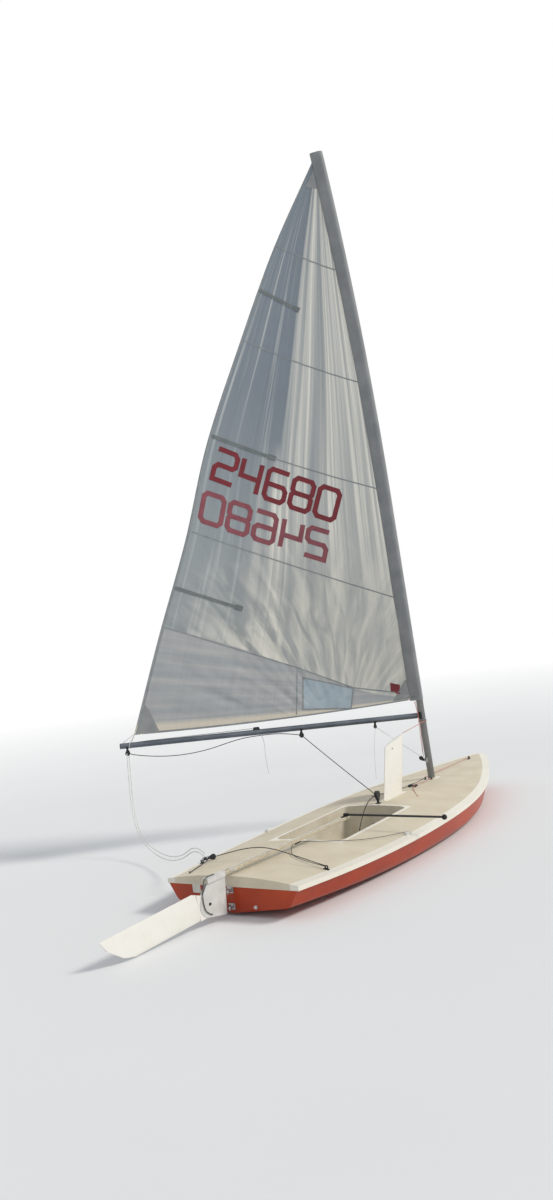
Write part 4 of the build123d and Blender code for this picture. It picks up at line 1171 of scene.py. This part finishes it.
for number, spread in enumerate((-0.012, 0.014)):
    slack = rope(
        f"mainsheet_fall_{number}",
        [
            end_block + Vector((spread, 0, 0)),
            (-0.80 + spread, 2.10, 0.70),
            (-0.85 + spread, 2.06, 0.36),
            (-0.98 + spread, 1.86, 0.15),
            (-1.22 + spread, 1.42, 0.09 + spread),
            (-1.48, 0.98, 0.16 + spread),
            (-1.63, 0.68, 0.31 + spread),
            BLOCK_PLACE + Vector((0, 0.03, spread)),
        ],
        0.007,
        white_rope,
    )
    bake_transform(slack)
to_ratchet = [mid_block, mid_block.lerp(RATCHET, 0.5) + Vector((0, 0, -0.012)), RATCHET]
fall = rope("mainsheet_to_ratchet", to_ratchet, 0.007, black_rope)
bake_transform(fall)
tail = (
    [RATCHET, (-0.14, 0.03, 0.36), (-0.24, 0.08, 0.20), (-0.30, 0.10, 0.03), (-0.42, 0.16, 0.018)]
    + [(-0.56, 0.12, 0.018), (-0.60, 0.04, 0.018), (-0.50, 0.0, 0.018), (-0.40, 0.06, 0.026)]
    + [(-0.45, 0.18, 0.024), (-0.62, 0.20, 0.018), (-0.74, 0.13, 0.018)]
)
rope("mainsheet_tail", tail, 0.007, black_rope, "hull", [(-0.74, 0.13, 0.022)])

# %% Lines that lie on the deck
CONTROL_LINE = (  # x, y to one side, z from the mast's foot to the loose end behind the cleat
    (0.885, 0.03, 0.308), (0.77, 0.035, 0.302), (0.66, 0.03, 0.303), (0.575, 0.024, 0.312),
    (0.50, 0.04, 0.300), (0.36, 0.12, 0.291), (0.22, 0.22, 0.281),
)
starboard, port = ([(x, y * side, z) for x, y, z in CONTROL_LINE] for side in (-1, 1))
DECK_LINES = (  # name, rope, diameter, knots, and the places that it follows
    ("traveller_line", black_rope, 0.006, (),
     (-1.735, 0.525, 0.245), (-1.74, 0.30, 0.30), (-1.745, 0.10, 0.345),
     (-1.75, -0.08, 0.352), (-1.75, -0.30, 0.30), (-1.755, -0.525, 0.245)),
    ("traveller_return", black_rope, 0.005, (),
     (-1.755, -0.515, 0.243), (-1.70, -0.28, 0.262), (-1.56, -0.10, 0.274), (-1.335, 0.0, 0.288)),
    ("traveller_tail", black_rope, 0.006, [(-2.04, 0.40, 0.244)],
     (-1.69, 0.50, 0.25), (-1.80, 0.46, 0.245), (-1.93, 0.43, 0.243), (-2.04, 0.40, 0.241)),
    ("side_deck_line", black_rope, 0.004, (),
     (-1.335, -0.01, 0.285), (-1.22, -0.30, 0.266), (-1.05, -0.50, 0.245), (-0.80, -0.625, 0.236)),
    ("control_line_0", pink_rope, 0.005, [(0.22, -0.22, 0.283)], *starboard),
    ("control_line_1", black_rope, 0.005, [(0.22, 0.22, 0.283)], *port),
    ("bow_line", pink_rope, 0.006, (),
     (0.92, 0.055, 0.302), (1.10, 0.075, 0.303), (1.35, 0.055, 0.308), (1.62, 0.02, 0.318),
     (1.832, 0.0, 0.330)),
)
for name, material, diameter, knots, *places in DECK_LINES:
    rope(name, places, diameter, material, "hull", knots)

to_mast = [(0.512, 0.0, 0.780), (0.70, -0.012, 0.800), (0.925, -0.028, 0.830)]
elastic = rope("board_elastic", to_mast, 0.006, pink_rope)
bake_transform(elastic)
round_mast = (
    [(0.90, -0.03, 0.828), (0.935, -0.044, 0.83), (0.975, -0.02, 0.832)]
    + [(0.975, 0.02, 0.832), (0.935, 0.044, 0.83), (0.90, 0.03, 0.828)]
)
rope("elastic_round_mast", round_mast, 0.005, pink_rope, "hull")
print("deck lines are in place")

# %% [markdown]
# ## Rudder lines and the plate on the transom
#
# A black line holds the rudder blade up: it loops over the head and comes down the cheek to the
# blade. Cord is whipped round the tiller where it enters the head, and a thin line runs along
# the tiller. A blank pale plate, which is a thin box with rounded corners, is stuck on the
# transom.

# %% Rudder lines, whipping and plate
HELM = radians(-8)
RUDDER_AXIS = Vector((-2.145, 0, 0))


def by_rudder(x, y, z):
    """A place drawn with the rudder's pintles at the origin, x forward."""
    return RUDDER_AXIS + Matrix.Rotation(HELM, 3, "Z") @ Vector((x, y, z))


UPHAUL = (
    (-0.10, 0.0, 0.305), (-0.19, -0.012, 0.318), (-0.225, -0.02, 0.25),
    (-0.235, -0.019, 0.17), (-0.215, -0.018, 0.09), (-0.165, -0.018, 0.07),
)
ALONG_TILLER = ((0.02, -0.008, 0.308), (0.40, -0.010, 0.326), (0.80, -0.008, 0.347), (1.20, -0.006, 0.366))
rope("blade_uphaul", [by_rudder(*place) for place in UPHAUL], 0.006, black_rope, "rudder")
rope("tiller_line", [by_rudder(*place) for place in ALONG_TILLER], 0.004, white_rope, "rudder")

WHIPPED_FROM, WHIPPING_STEP = 0.03, 0.0011  # ahead of the pintles, and for each eighth of a turn
BAR_HALF_WIDTH, BAR_HALF_HEIGHT = 0.0205, 0.0155
BAR_MIDDLE, BAR_SLOPE = 0.290, 0.0507
ROUND_BAR = 1.08  # the cord's middle, as a share of the bar's half sizes
turns = []
for number in range(33):
    angle = number * pi / 4
    forward = WHIPPED_FROM + number * WHIPPING_STEP
    across_bar = BAR_HALF_WIDTH * sin(angle) * ROUND_BAR
    over_bar = BAR_HALF_HEIGHT * cos(angle) * ROUND_BAR
    turns.append(by_rudder(forward, across_bar, BAR_MIDDLE + BAR_SLOPE * forward + over_bar))
rope("tiller_whipping", turns, 0.004, white_rope, "rudder")

plate_plastic = stuff("blank_plate_pale", "CFCBC0", "DDDACF", 50, 4, 0.1, (0.35, 0.5))
PLATE_THICK, PLATE_WIDTH, PLATE_HEIGHT = 1.2 * MM, 0.068, 0.056
PLATE_CORNER = 0.007
PLATE_PLACE = (-2.1157, 0.288, 0.162)
shape = bmesh.new()
bmesh.ops.create_cube(shape, size=1, matrix=Matrix.Diagonal((PLATE_THICK, PLATE_WIDTH, PLATE_HEIGHT, 1)))
through = [e for e in shape.edges if abs((e.verts[0].co - e.verts[1].co).x) > PLATE_THICK / 2]
bmesh.ops.bevel(
    shape, geom=through, offset=PLATE_CORNER, segments=4, affect="EDGES", profile=0.5, material=-1
)
bmesh.ops.translate(shape, verts=shape.verts, vec=PLATE_PLACE)
piece("transom_plate", shape, plate_plastic, "hull")
print("plate at the transom")
